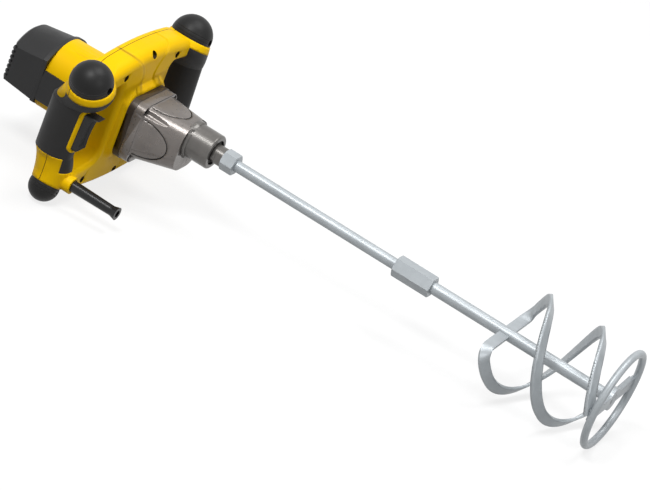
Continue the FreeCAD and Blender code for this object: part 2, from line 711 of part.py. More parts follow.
def ribbon(start_degrees):
    """Flat bar that leaves the rod as an arm, bends over and winds forward to the ring."""
    lean = math.radians(RIBBON_LEAN)
    path_radius = (RING_DIAMETER - RIBBON_WIDTH * math.cos(lean)) / 2.0
    rise = RIBBON_LENGTH - RING_BAR / 2.0
    round_length = 2.0 * math.pi * path_radius * RIBBON_TURNS
    pitch_angle = math.atan2(rise, round_length)
    arm = path_radius - RIBBON_BEND - LOWER_ROD_DIAMETER / 4.0
    bend_end = arm + RIBBON_BEND * math.pi / 2.0
    total = bend_end - RIBBON_BEND + math.hypot(rise, round_length)

    def place(length):
        along, radius, turned = ribbon_path(length, arm, path_radius, pitch_angle)
        angle = math.radians(start_degrees) + turned
        radial = Vector(0, math.cos(angle), math.sin(angle))
        return Vector(RING_STATION - RIBBON_LENGTH + along, 0, SPINDLE_RISE) + radial * radius, radial

    def section(length):
        point, radial = place(length)
        tangent = (place(length + PATH_STEP)[0] - place(length - PATH_STEP)[0]).normalize()
        share = min(1.0, max(0.0, (length - arm) / (bend_end - arm)))
        turned_over = share * share * (3.0 - 2.0 * share)
        leaned = FORWARD * math.sin(lean) - radial * math.cos(lean)
        wide = FORWARD * (1.0 - turned_over) + leaned * turned_over
        wide = (wide - tangent * wide.dot(tangent)).normalize() * (RIBBON_WIDTH / 2.0)
        thick = tangent.cross(wide).normalize() * (RIBBON_THICKNESS / 2.0)
        rim = [point + wide + thick, point - wide + thick, point - wide - thick, point + wide - thick]
        return Part.makePolygon(rim + rim[:1])

    stretches = []
    for begin, end, steps in ((0.0, arm, 1), (arm, bend_end, BEND_STEPS), (bend_end, total, TURN_STEPS)):
        rims = [section(begin + (end - begin) * step / steps) for step in range(steps + 1)]
        stretches.append(Part.makeLoft(rims, True, steps == 1))
    strip = stretches[0].multiFuse(stretches[1:])
    hub_start = RING_STATION - RIBBON_LENGTH - RIBBON_WIDTH
    hub = rod(LOWER_ROD_DIAMETER, hub_start, RING_STATION, 0.0, SPINDLE_RISE)
    return largest(strip.cut([hub, ring(), cross_bar()]))


# Gearbox


def gearbox_body(inset, front):
    """Tapering rounded box from the flange to the front, drawn in by the inset."""
    half = GEARBOX_ROOT_SIDE / 2.0
    root = rounded_wire(PLATE_FRONT, half - inset, -half + inset, GEARBOX_TOP - inset, GEARBOX_ROOT_CORNER)
    tip = rounded_wire(front, GEARBOX_FRONT_WIDTH / 2.0 - inset, -GEARBOX_FRONT_BOTTOM + inset,
                       GEARBOX_TOP - inset, GEARBOX_FRONT_CORNER)
    return Part.makeLoft([root, tip], True, True)


def shield_outline(grow):
    """Rounded shield that marks a panel on the gearbox: broad at the flange and round in front."""
    start = FLANGE_FRONT + GROOVE_WIDTH
    length = SHIELD_LENGTH + grow
    half = SHIELD_WIDTH / 2.0 + grow
    wire = Part.Ellipse(Vector(start + length, 0, 0), Vector(start, half, 0), Vector(start, 0, 0))
    front = wire.toShape(-math.pi / 2.0, math.pi / 2.0)
    back = Part.LineSegment(Vector(start, half, 0), Vector(start, -half, 0)).toShape()
    return Part.Face(Part.Wire([front, back]))


def shield_grooves():
    """Shallow outlines of the panels on the gearbox's four sides."""
    skin = gearbox_body(-1.0, GEARBOX_FRONT).cut(gearbox_body(GROOVE_DEPTH, GEARBOX_FRONT))
    reach = FLANGE_SIDE
    line = shield_outline(0.0).extrude(Vector(0, 0, reach)).cut(
        shield_outline(-GROOVE_WIDTH).extrude(Vector(0, 0, reach)))
    grooves = []
    for quarter in range(4):
        turned = line.copy()
        turned.rotate(Vector(0, 0, 0), FORWARD, 90.0 * quarter)
        grooves.append(turned.common(skin))
    return grooves


def gearbox_corners():
    """Places of the four screws that hold the gearbox."""
    half = GEARBOX_SCREW_SPACING / 2.0
    return [(y, z) for y in (half, -half) for z in (half, -half)]


def gearbox_screw_seat():
    """Station of the seats under the gearbox screws' heads."""
    return FLANGE_FRONT - SCREW_RECESS


def gearbox_screw_length():
    """Length of a gearbox screw's shank, from its seat into the casing's posts."""
    return gearbox_screw_seat() - PLATE_BACK + SCREW_POST_DEPTH


def gearbox_screws():
    """The four screws that hold flange and plate on the casing."""
    screws = []
    for y, z in gearbox_corners():
        screws.append(screw(Vector(gearbox_screw_seat(), y, z), FORWARD * -1.0, gearbox_screw_length()))
    return Part.makeCompound(screws)


def gearbox_screw_wells():
    """Holes for the gearbox screws through every piece they pass."""
    wells = []
    for y, z in gearbox_corners():
        wells.append(screw_well(Vector(gearbox_screw_seat(), y, z), FORWARD * -1.0, gearbox_screw_length(),
                                SCREW_WELL_DIAMETER, GEARBOX_LENGTH))
    return wells


def front_bush_start():
    """Station of the intermediate shaft's front bush."""
    return SECOND_PINION_END + END_PLAY


def gearbox_housing():
    """Cast gearbox: flange, tapering body with marked panels, and a post for the intermediate shaft."""
    half = FLANGE_SIDE / 2.0
    flange = rounded_block(PLATE_FRONT, FLANGE_FRONT, half, -half, half, FLANGE_CORNER)
    body = gearbox_body(0.0, GEARBOX_FRONT)
    inside = gearbox_body(GEARBOX_WALL, GEARBOX_FRONT).common(
        block(PLATE_FRONT - OVERCUT, GEARBOX_FRONT - GEARBOX_FRONT_WALL, -half, half, -half, half))
    bush_diameter = JOURNAL_DIAMETER + 2.0 * (BUSH_WALL + SEAT_FIT)
    post = rod(bush_diameter + 2.0 * GEARBOX_WALL, front_bush_start(), GEARBOX_FRONT - POST_SETBACK, MIDDLE_Y,
               MIDDLE_Z)
    walls = flange.fuse(body).cut(inside).fuse(post.common(body)).removeSplitter()
    pocket = rod(bush_diameter, front_bush_start() - OVERCUT, front_bush_start() + BUSH_LENGTH, MIDDLE_Y,
                 MIDDLE_Z)
    tip_room = rod(JOURNAL_DIAMETER + 2.0 * LOOSE_FIT, front_bush_start(),
                   front_bush_start() + BUSH_LENGTH + OVERCUT, MIDDLE_Y, MIDDLE_Z)
    gear_tip = gear_radii(FIRST_MODULE, FIRST_GEAR_TEETH, FIRST_PINION_TEETH, -PROFILE_SHIFT,
                          GEAR_ADDENDUM, PINION_ADDENDUM)[0]
    gear_room = rod(2.0 * (gear_tip + GEAR_ROOM), PLATE_FRONT - OVERCUT,
                    FIRST_GEAR_START + FIRST_GEAR_WIDTH + GEAR_ROOM, MIDDLE_Y, MIDDLE_Z)
    nose_seat = rod(NOSE_COLLAR_DIAMETER + 2.0 * NOSE_GAP, GEARBOX_FRONT - NOSE_RECESS, NOSE_END,
                    0.0, SPINDLE_RISE)
    passage = rod(SPINDLE_BEARING_DIAMETER - 2.0 * GEARBOX_WALL, GEARBOX_FRONT - 2.0 * GEARBOX_FRONT_WALL,
                  NOSE_END, 0.0, SPINDLE_RISE)
    cuts = [pocket, tip_room, gear_room, nose_seat, passage] + gearbox_screw_wells() + shield_grooves()
    return largest(walls.cut(cuts))


def gear_plate():
    """Plate between motor and gearbox, with the motor's front bearing in a boss behind it."""
    half = FLANGE_SIDE / 2.0 + PLATE_LIP
    plate = rounded_block(PLATE_BACK, PLATE_FRONT, half, -half, half, FLANGE_CORNER + PLATE_LIP)
    pocket_diameter = FRONT_BEARING_DIAMETER + 2.0 * SEAT_FIT
    boss_start = PLATE_BACK - WALL - FRONT_BEARING_WIDTH
    boss = rod(pocket_diameter + 2.0 * BEARING_POCKET_WALL, boss_start, PLATE_FRONT - OVERCUT)
    pocket = rod(pocket_diameter, boss_start - OVERCUT, boss_start + FRONT_BEARING_WIDTH)
    passage = rod(SHAFT_DIAMETER + 2.0 * LOOSE_FIT, boss_start, PLATE_FRONT + OVERCUT)
    bush = JOURNAL_DIAMETER + 2.0 * (BUSH_WALL + SEAT_FIT)
    bush_seats = [rod(bush, PLATE_FRONT - BUSH_LENGTH, PLATE_FRONT + OVERCUT, y, z)
                  for y, z in ((MIDDLE_Y, MIDDLE_Z), (0.0, SPINDLE_RISE))]
    return fused([plate, boss]).cut([pocket, passage] + bush_seats + gearbox_screw_wells())


def gear_bushes():
    """Plain bushes of the intermediate shaft and of the spindle's rear end."""
    outer = JOURNAL_DIAMETER + 2.0 * BUSH_WALL
    inner = JOURNAL_DIAMETER + 2.0 * RUNNING_FIT
    plate_start = PLATE_FRONT - BUSH_LENGTH
    places = [(plate_start, MIDDLE_Y, MIDDLE_Z), (plate_start, 0.0, SPINDLE_RISE),
              (front_bush_start(), MIDDLE_Y, MIDDLE_Z)]
    return Part.makeCompound([sleeve(outer, inner, x, x + BUSH_LENGTH, y, z) for x, y, z in places])


def nose_sleeve():
    """Steel nose that holds the spindle's bearing and seal, with a slotted collar."""
    start = GEARBOX_FRONT - NOSE_RECESS
    z = SPINDLE_RISE
    collar = rod(NOSE_COLLAR_DIAMETER, start, start + NOSE_COLLAR_LENGTH, 0.0, z)
    tube = rod(NOSE_DIAMETER, start, NOSE_END, 0.0, z)
    front_edge = [edge for edge in tube.Edges if edge.CenterOfMass.x > NOSE_END - 1e-6]
    tube = tube.makeFillet(NOSE_LIP, front_edge)
    bore = rod(SPINDLE_BEARING_DIAMETER + 2.0 * SEAT_FIT, SPINDLE_BEARING_START, SEAL_END, 0.0, z)
    mouth = rod(NOSE_MOUTH_DIAMETER, start - OVERCUT, NOSE_END + OVERCUT, 0.0, z)
    cuts = [bore, mouth]
    slot = block(start + NOSE_COLLAR_LENGTH / 2.0, start + NOSE_COLLAR_LENGTH + OVERCUT, NOSE_DIAMETER / 2.0,
                 NOSE_COLLAR_DIAMETER, -NOSE_SLOT_WIDTH / 2.0, NOSE_SLOT_WIDTH / 2.0)
    for quarter in range(4):
        turned = slot.copy()
        turned.rotate(Vector(0, 0, 0), FORWARD, 45.0 + 90.0 * quarter)
        turned.translate(Vector(0, 0, z))
        cuts.append(turned)
    return fused([collar, tube]).cut(cuts)


def spindle_bearing():
    """Ball bearing of the spindle, drawn as one ring."""
    return sleeve(SPINDLE_BEARING_DIAMETER, SPINDLE_BODY_DIAMETER + 2.0 * RUNNING_FIT,
                  SPINDLE_BEARING_START, SPINDLE_BEARING_END, 0.0, SPINDLE_RISE)


def oil_seal():
    """Seal in the nose's mouth, round the spindle."""
    return sleeve(SPINDLE_BEARING_DIAMETER, SPINDLE_DIAMETER + 2.0 * RUNNING_FIT, SEAL_START, SEAL_END,
                  0.0, SPINDLE_RISE)


# Motor pieces that stand still


def barrel_section(x, inset, fall):
    """Section of the barrel: flat sides, an arched top that sinks by the fall, and a rounded foot."""
    half = BARREL_WIDTH / 2.0
    return rounded_wire(x, half - inset, inset - half + BARREL_LIFT, half + BARREL_RISE - fall - inset,
                        half - BARREL_CREST / 2.0 - inset, BARREL_FOOT - inset)


def barrel_filler(start, end):
    """Bar that fills the barrel's room from one station to another, with a loose fit all round."""
    face = Part.Face(barrel_section(start, BARREL_WALL + LOOSE_FIT, BARREL_FALL))
    return face.extrude(FORWARD * (end - start))


def field_core():
    """Iron stack of the field, flat on both sides, with two poles round the armature."""
    end = -FIELD_FRONT
    start = end - FIELD_LENGTH
    outer = 2.0 * BARREL_WIDTH
    stack = barrel_filler(start, end)
    opening = math.radians(180.0 - POLE_ARC) / 2.0
    reach = COIL_OUTER / 2.0 + LOOSE_FIT
    slots = []
    for side in (1.0, -1.0):
        points = [Vector(start - OVERCUT, 0, 0)]
        for angle in (-opening, opening):
            points.append(Vector(start - OVERCUT, side * outer * math.cos(angle), outer * math.sin(angle)))
        wedge = Part.Face(Part.makePolygon(points + points[:1])).extrude(FORWARD * (FIELD_LENGTH + 2.0))
        slots.append(wedge.common(rod(2.0 * reach, start - OVERCUT, end + OVERCUT)))
    return stack.cut([rod(FIELD_BORE, start - OVERCUT, end + OVERCUT)] + slots)


def field_coils():
    """The two field coils: legs in the slots and arched ends over the poles."""
    end = -FIELD_FRONT
    start = end - FIELD_LENGTH
    opening = math.radians(180.0 - POLE_ARC) / 2.0
    ring_all = sleeve(COIL_OUTER, COIL_INNER, start - COIL_END, end + COIL_END)
    above = block(start - COIL_END, end + COIL_END, -COIL_OUTER, COIL_OUTER, COIL_GAP / 2.0, COIL_OUTER)
    arched = ring_all.common(above)
    inset = opening - 2.0 * LOOSE_FIT / COIL_INNER
    points = [Vector(start, 0, 0)]
    for angle in (inset, math.pi - inset):
        points.append(Vector(start, COIL_OUTER * math.cos(angle) / math.cos(inset),
                             COIL_OUTER * math.tan(inset)))
    points.insert(2, Vector(start, 0, 2.0 * COIL_OUTER))
    window = Part.Face(Part.makePolygon(points + points[:1])).extrude(FORWARD * FIELD_LENGTH)
    upper = arched.cut(window)
    lower = upper.copy()
    lower.rotate(Vector(0, 0, 0), FORWARD, 180.0)
    return Part.makeCompound([largest(upper), largest(lower)])


def front_bearing():
    """Motor bearing in the gear plate's boss."""
    start = PLATE_BACK - WALL - FRONT_BEARING_WIDTH
    bore = SHAFT_DIAMETER + 2.0 * RUNNING_FIT
    return sleeve(FRONT_BEARING_DIAMETER, bore, start, start + FRONT_BEARING_WIDTH)


def rear_bearing():
    """Motor bearing in the rear cover's pocket."""
    start = -(COVER_END - COVER_WALL)
    bore = JOURNAL_DIAMETER + 2.0 * RUNNING_FIT
    return sleeve(REAR_BEARING_DIAMETER, bore, start, start + REAR_BEARING_WIDTH)


def carrier_back():
    """Station of the brush carrier's rear face, just inside the barrel's end."""
    return -BARREL_REAR + CARRIER_INSET


def brush_station():
    """Middle of the brushes and of the commutator under them."""
    return carrier_back() - BRUSH_WIDTH / 2.0 - HOLDER_WALL - LOOSE_FIT


def brush_carrier():
    """Ring in the barrel's rear end that carries the brush holders."""
    back = carrier_back()
    disc = barrel_filler(back, back + CARRIER_THICKNESS)
    return disc.cut(rod(CARRIER_HOLE_DIAMETER, back - OVERCUT, back + CARRIER_THICKNESS + OVERCUT))


def brush_box(side, grow, start, end):
    """Bar of the brush's section on one side of the commutator, grown all round."""
    low, high = sorted((side * start, side * end))
    middle = brush_station()
    half_x = BRUSH_WIDTH / 2.0 + grow
    half_z = BRUSH_THICKNESS / 2.0 + grow
    return block(middle - half_x, middle + half_x, low, high, -half_z, half_z)


def brush_holders():
    """Boxes that guide the brushes, closed at the outer end."""
    holders = []
    for side in (1.0, -1.0):
        box = brush_box(side, LOOSE_FIT + HOLDER_WALL, HOLDER_START, HOLDER_END)
        room = brush_box(side, LOOSE_FIT, HOLDER_START - OVERCUT, HOLDER_END - HOLDER_WALL)
        holders.append(box.cut(room))
    return Part.makeCompound(holders)


def carbon_brushes():
    """Carbon blocks, hollowed to the commutator's curve."""
    drum = COMMUTATOR_DIAMETER + 2.0 * RUNNING_FIT
    curve = rod(drum, brush_station() - BRUSH_WIDTH, brush_station() + BRUSH_WIDTH)
    start = COMMUTATOR_DIAMETER / 2.0
    return Part.makeCompound([brush_box(side, 0.0, start - 2.0, start + BRUSH_LENGTH).cut(curve)
                              for side in (1.0, -1.0)])


def coil_spring(start, way, length, mean_diameter, wire, turns):
    """Open compression spring of round wire, in quarter-turn arcs from start along way."""
    across = FORWARD
    other = way.cross(across)
    radius = mean_diameter / 2.0

    def on_helix(quarters):
        angle = quarters * math.pi / 2.0
        return (start + way * (wire / 2.0 + (length - wire) * quarters / (4.0 * turns))
                + across * (radius * math.cos(angle)) + other * (radius * math.sin(angle)))

    edges = [Part.Arc(on_helix(q), on_helix(q + 0.5), on_helix(q + 1)).toShape() for q in range(4 * turns)]
    spine = Part.Wire(edges)
    tangent = edges[0].tangentAt(edges[0].FirstParameter)
    profile = Part.Wire(Part.Circle(on_helix(0), tangent, wire / 2.0).toShape())
    return spine.makePipeShell([profile], True, True)


def brush_springs():
    """Springs that press the brushes on the commutator."""
    start = COMMUTATOR_DIAMETER / 2.0 + BRUSH_LENGTH + LOOSE_FIT
    length = HOLDER_END - HOLDER_WALL - LOOSE_FIT - start
    return Part.makeCompound([
        coil_spring(Vector(brush_station(), side * start, 0), Vector(0, side, 0), length,
                    BRUSH_SPRING_DIAMETER, BRUSH_SPRING_WIRE, BRUSH_SPRING_TURNS)
        for side in (1.0, -1.0)])


# Casing


def yoke_plate(inset):
    """Central block with its four arms: an arched plate along the split, with both hand gaps cut."""
    reach = HALF_SPACING + ARM_OVERRUN
    back = -YOKE_REAR + inset
    front = YOKE_FRONT - inset
    crown = CROWN_HEIGHT - inset
    keel = -KEEL_DEPTH + inset
    ends = [Vector(back, -reach, crown - ARCH_FALL), Vector(back, reach, crown - ARCH_FALL),
            Vector(back, reach, keel + KEEL_RISE), Vector(back, -reach, keel + KEEL_RISE)]
    wire = Part.Wire([
        Part.Arc(ends[0], Vector(back, 0, crown), ends[1]).toShape(),
        Part.LineSegment(ends[1], ends[2]).toShape(),
        Part.Arc(ends[2], Vector(back, 0, keel), ends[3]).toShape(),
        Part.LineSegment(ends[3], ends[0]).toShape(),
    ])
    plate = Part.Face(wire).extrude(FORWARD * (front - back))
    return plate.cut([hand_gap(side, inset) for side in (1.0, -1.0)])


def trimmed_arms(plate, inset):
    """The plate with its arms cut short inside the collars."""
    end = HALF_SPACING - ARM_SHORT
    reach = 2.0 * HALF_SPACING
    kept = plate.common(block(-reach, reach, -end, end, -reach, reach))
    over = []
    for side, way in corners():
        axis = bumper_axis(side, way)
        start = bumper_base(side, way) - axis * (COLLAR_RIM + inset)
        over.append(Part.makeCylinder(HALF_SPACING, HALF_SPACING, start, axis))
    return kept.cut(over)


def hand_gap(side, inset):
    """Space between the central block and one grip, larger by the inset."""
    inner = side * (BLOCK_WIDTH / 2.0 - inset)
    outer = side * (HALF_SPACING + GRIP_WIDTH)
    height = GAP_HEIGHT + inset
    flared = height + GAP_FLARE
    depth = 2.0 * (YOKE_FRONT + YOKE_REAR)
    points = [Vector(-depth, inner, height + GAP_ARCH), Vector(-depth, outer, flared),
              Vector(-depth, outer, -flared), Vector(-depth, inner, -height)]
    gap = Part.Face(Part.makePolygon(points + points[:1])).extrude(FORWARD * (2.0 * depth))

    def corner(upper):
        return [edge for edge in gap.Edges if abs(edge.CenterOfMass.x) < 1e-6
                and abs(edge.CenterOfMass.y - inner) < 1e-6 and (edge.CenterOfMass.z > 0) == upper]

    gap = gap.makeFillet(GAP_TOP_ROUND, corner(True))
    return gap.makeFillet(GAP_ROUND, corner(False))


def crest_radius():
    """Radius of the large round along the front of the crown, up to a narrow ridge on the arms."""
    return ARM_HEIGHT - YOKE_ROUND - ARM_RIDGE


def room_inset():
    """Depth of the yoke's room under its skin, with a full wall behind the crown's large round."""
    return WALL + crest_radius() * (1.0 - math.sqrt(0.5))


def rounded_plate():
    """The yoke plate with its rims rounded over, most of all along the front of its crown."""
    plate = yoke_plate(0.0)
    end = HALF_SPACING + ARM_OVERRUN

    def on_crest(edge):
        return edge.CenterOfMass.x > YOKE_FRONT - 1e-6 and edge.CenterOfMass.z > CROWN_HEIGHT - ARCH_FALL

    rims = []
    for face in plate.Faces:
        if face.BoundBox.XLength < 1e-6:
            rims.extend(edge for edge in face.Edges
                        if abs(edge.CenterOfMass.y) < end - 1e-3 and not on_crest(edge))
    plate = plate.makeFillet(YOKE_ROUND, rims)
    return plate.makeFillet(crest_radius(), [edge for edge in plate.Edges if on_crest(edge)])


def grip_section(side, z):
    """Middle and depth of a grip at a height; the far one, without a trigger, reaches further to the front."""
    share = (z + GRIP_BOTTOM) / (GRIP_TOP + GRIP_BOTTOM)
    setback = GRIP_BOTTOM_SETBACK + (GRIP_TOP_SETBACK - GRIP_BOTTOM_SETBACK) * share
    depth = GRIP_BOTTOM_DEPTH + (GRIP_TOP_DEPTH - GRIP_BOTTOM_DEPTH) * share
    if side < 0:
        return -setback, depth
    lead = FAR_GRIP_BOTTOM_LEAD + (FAR_GRIP_TOP_LEAD - FAR_GRIP_BOTTOM_LEAD) * share
    return lead / 2.0 - setback, depth + lead


def grip_column(side, outset, overrun):
    """Upright grip: larger than its bare core by the outset and longer at both ends by the overrun."""
    wires = []
    for z in (-GRIP_BOTTOM - overrun, GRIP_TOP + overrun):
        middle, depth = grip_section(side, z)
        wires.append(oval(Vector(middle, side * HALF_SPACING, z), FORWARD, depth / 2.0 - GRIP_SKIN + outset,
                          Vector(0, 1, 0), GRIP_WIDTH / 2.0 - GRIP_SKIN + outset))
    return Part.makeLoft(wires, True, True)


def bumper_axis(side, way):
    """Direction in which a bumper points: up or down and leaning outward."""
    tilt = math.radians(BUMPER_TILT)
    return Vector(0, side * math.sin(tilt), way * math.cos(tilt))


def bumper_base(side, way):
    """Middle of a bumper's flat base."""
    if way > 0:
        return Vector(UPPER_BUMPER_LEAD, side * HALF_SPACING, CROWN_HEIGHT - UPPER_BUMPER_DROP)
    return Vector(-LOWER_BUMPER_LAG, side * HALF_SPACING, LOWER_BUMPER_DROP - KEEL_DEPTH)


def bumper_ball(way):
    """Radius of a bumper's ball, and the rise of its middle over the base."""
    if way > 0:
        return UPPER_BUMPER_DIAMETER / 2.0, UPPER_BUMPER_RISE
    return LOWER_BUMPER_DIAMETER / 2.0, LOWER_BUMPER_RISE


def seat_radius(way):
    """Radius of the casing's round seat under a bumper."""
    radius, rise = bumper_ball(way)
    return math.sqrt(radius ** 2 - rise ** 2) + COLLAR_RIM


def grip_end(side, way):
    """Height at which a straight grip ends, with its middle and depth there."""
    height = GRIP_TOP if way > 0 else -GRIP_BOTTOM
    return (height,) + grip_section(side, height)


def collar(side, way):
    """Handle's end that swells from the grip's section to the round seat of a bumper."""
    height, middle, depth = grip_end(side, way)
    axis = bumper_axis(side, way)
    across = axis.cross(FORWARD) * way
    begin = FORWARD * -1.0
    seat = bumper_base(side, way)
    rim = seat_radius(way)
    waist = rim + COLLAR_SWELL
    foot = Vector(middle, side * HALF_SPACING, height)
    wires = [oval(foot, begin, depth / 2.0, Vector(0, 1, 0), GRIP_WIDTH / 2.0),
             oval(seat - axis * COLLAR_RISE, begin, waist, across, waist),
             oval(seat, begin, rim, across, rim)]
    return Part.makeLoft(wires, True, False)


def straight_collar(side, way, inset, lift):
    """Plain taper inside a collar, drawn in by the inset and set off from the grip's end by the lift."""
    height, middle, depth = grip_end(side, way)
    axis = bumper_axis(side, way)
    across = axis.cross(FORWARD) * way
    begin = FORWARD * -1.0
    rim = seat_radius(way) - inset
    foot = Vector(middle, side * HALF_SPACING, height + way * lift)
    wires = [oval(foot, begin, depth / 2.0 - inset, Vector(0, 1, 0), GRIP_WIDTH / 2.0 - inset),
             oval(bumper_base(side, way) - axis * lift, begin, rim, across, rim)]
    return Part.makeLoft(wires, True, True)


def handle(side):
    """Outer form of one grip with both its ends."""
    return grip_column(side, GRIP_SKIN, 0.0).multiFuse([collar(side, way) for way in (1.0, -1.0)])


def handle_core(side, grow):
    """Hard core of one grip under its soft sleeve, grown by a fit."""
    ends = [straight_collar(side, way, GRIP_SKIN - grow, 0.0) for way in (1.0, -1.0)]
    return grip_column(side, grow, 0.0).multiFuse(ends)


def sleeve_zone(side):
    """Room in which a handle's skin is soft: up to a band under the upper bumper, and lower down in front."""
    axis = bumper_axis(side, 1.0)
    top = bumper_base(side, 1.0) - axis * COLLAR_BAND
    under = Part.makeCylinder(HALF_SPACING, 2.0 * HALF_SPACING, top, axis * -1.0)
    y_low = side * HALF_SPACING - GRIP_TOP_DEPTH
    y_high = side * HALF_SPACING + GRIP_TOP_DEPTH
    grip_part = block(-HALF_SPACING, HALF_SPACING, y_low, y_high, -GRIP_BOTTOM, CROWN_HEIGHT)
    tongue = block(TONGUE_START, HALF_SPACING, y_low, y_high, -TONGUE_DEPTH, 0.0)
    return under.common(grip_part.fuse(tongue))


def corners():
    """The four corners of the yoke: side and way."""
    return [(side, way) for side in (1.0, -1.0) for way in (1.0, -1.0)]


def spigot(side, way, grow):
    """Stub on a collar that a bumper sits on."""
    return Part.makeCylinder(SPIGOT_DIAMETER / 2.0 + grow, SPIGOT_HEIGHT + grow,
                             bumper_base(side, way) - bumper_axis(side, way), bumper_axis(side, way))


def barrel(inset, start):
    """Motor barrel behind the yoke, a little lower at its rear end."""
    front = barrel_section(WALL, inset, 0.0)
    return Part.makeLoft([barrel_section(start, inset, BARREL_FALL), front], True, True)


def hump(inset):
    """Raised front of the casing under the gearbox."""
    start = HUMP_ROOT - inset
    end = HUMP_DEPTH - inset
    half = FLANGE_SIDE / 2.0 + HUMP_LEDGE - inset
    tall = HUMP_HEIGHT / 2.0 - inset
    root = rounded_wire(start, HUMP_WIDTH / 2.0 - inset, -tall, tall, HUMP_CORNER)
    face = rounded_wire(end, half, -half, half, FLANGE_CORNER)
    return Part.makeLoft([root, face], True, True)


def casing_room():
    """Everything hollow inside the casing, in one."""
    shapes = [trimmed_arms(yoke_plate(room_inset()), WALL), hump(WALL),
              barrel(BARREL_WALL, -BARREL_REAR - BARREL_WALL)]
    for side in (1.0, -1.0):
        shapes.append(grip_column(side, -WALL, 2.0 * WALL))
        shapes.extend(straight_collar(side, way, COLLAR_WALL, WALL) for way in (1.0, -1.0))
    return shapes[0].multiFuse(shapes[1:])


def casing_screw_places():
    """Where the two halves of the casing are screwed together."""
    high = CROWN_HEIGHT - WALL - SCREW_POST_BITE
    low = KEEL_DEPTH - WALL - SCREW_POST_BITE
    inner = BLOCK_WIDTH / 2.0 + SCREW_POST_DIAMETER / 2.0
    places = [(0.0, high), (0.0, -low)]
    for side in (1.0, -1.0):
        places.append((side * inner, UPPER_SCREW_HEIGHT))
        places.append((side * LOWER_SCREW_SIDE, -LOWER_SCREW_DEPTH))
    return places


def casing_screw_seat():
    """Station of the seats under the casing screws' heads."""
    return YOKE_FRONT - SCREW_POST_DEPTH


def casing_screw_length():
    """Length of a casing screw's shank, through the front half and into the rear one's posts."""
    return casing_screw_seat() + YOKE_REAR - WALL


def casing_screws():
    """Screws that pull the casing's halves together."""
    return Part.makeCompound([screw(Vector(casing_screw_seat(), y, z), FORWARD * -1.0, casing_screw_length())
                              for y, z in casing_screw_places()])


def casing_screw_posts():
    """Posts and holes for the casing screws."""
    posts = [rod(SCREW_POST_DIAMETER, POST_SETBACK - YOKE_REAR, YOKE_FRONT - POST_SETBACK, y, z)
             for y, z in casing_screw_places()]
    wells = [screw_well(Vector(casing_screw_seat(), y, z), FORWARD * -1.0, casing_screw_length(),
                        SCREW_WELL_DIAMETER, 2.0 * SCREW_POST_DEPTH)
             for y, z in casing_screw_places()]
    return posts, wells


def trigger_bar(start, grow):
    """Bar along X of the trigger's rounded outline, wider by the grow, from the start to well in front."""
    bar = rounded_block(start, GRIP_TOP_DEPTH, TRIGGER_WIDTH / 2.0 + grow, -TRIGGER_BOTTOM - grow,
                        TRIGGER_TOP + grow, TRIGGER_CORNER + grow)
    return bar.translated(Vector(0, -HALF_SPACING, 0))


def trigger_frame(grow):
    """Front strip of the near grip round the trigger, wider by the grow."""
    return trigger_bar(switch_front(), TRIGGER_GAP + TRIGGER_FRAME + grow)


def switch_rib():
    """Rib behind the switch, which holds it in the near grip."""
    half = SWITCH_RIB_WIDTH / 2.0
    column = grip_column(-1.0, 0.0, 0.0)
    rib = block(-GRIP_TOP_DEPTH, switch_rear(), -HALF_SPACING - half, -HALF_SPACING + half,
                switch_middle() - SWITCH_RIB_HEIGHT / 2.0, switch_middle() + SWITCH_RIB_HEIGHT / 2.0)
    return rib.common(column)


def gland(diameter, start, end):
    """Round bar on the cord guard's line."""
    return rod(diameter, start, end, -GUARD_SIDE, -GUARD_DEPTH)


def casing():
    """Both halves of the casing, still in one."""
    solids = [trimmed_arms(rounded_plate(), 0.0), barrel(0.0, -BARREL_REAR), hump(0.0)]
    for side, way in corners():
        solids.append(spigot(side, way, 0.0))
    for side in (1.0, -1.0):
        solids.append(handle_core(side, 0.0))
        solids.extend(handle(side).cut(sleeve_zone(side)).Solids)
    frame = grip_column(-1.0, GRIP_SKIN + FRAME_RISE, TRIGGER_FRAME).common(trigger_frame(0.0))
    outside = solids[0].multiFuse(solids[1:] + [frame])
    hollow = outside.cut(casing_room())
    posts, wells = casing_screw_posts()
    corner_posts = [rod(SCREW_POST_DIAMETER, PLATE_BACK - CORNER_POST_DEPTH, PLATE_BACK - POST_SETBACK, y, z)
                    for y, z in gearbox_corners()]
    inner_pieces = [piece.common(outside) for piece in posts + corner_posts]
    inner_pieces.append(switch_rib())
    inner_pieces.append(gland(GLAND_DIAMETER, WALL, GUARD_START))
    shell = hollow.multiFuse(inner_pieces)
    slot = trigger_bar(switch_front(), TRIGGER_GAP)
    boss_diameter = FRONT_BEARING_DIAMETER + 2.0 * (BEARING_POCKET_WALL + LOOSE_FIT)
    boss_room = rod(boss_diameter, WALL, PLATE_BACK + OVERCUT)
    guard_seat = gland(GUARD_ROOT_DIAMETER + 2.0 * SEAT_FIT, GUARD_START - GUARD_SEAT,
                       GUARD_START + GUARD_LENGTH)
    cord_way = gland(GUARD_BORE + 2.0 * END_PLAY, WALL / 2.0, GUARD_START)
    cuts = wells + gearbox_screw_wells() + [slot, boss_room, guard_seat, cord_way]
    cuts += [bumper_screw_well(side, way) for side, way in corners()]
    cuts += cover_screw_wells()
    return shell.cut(cuts)


def casing_halves():
    """Front and rear half of the casing."""
    whole = casing()
    reach = 4.0 * GRIP_SPACING
    front = whole.common(block(-SPLIT_SETBACK, reach, -reach, reach, -reach, reach))
    rear = whole.common(block(-reach, -SPLIT_SETBACK, -reach, reach, -reach, reach))
    return largest(front), largest(rear)


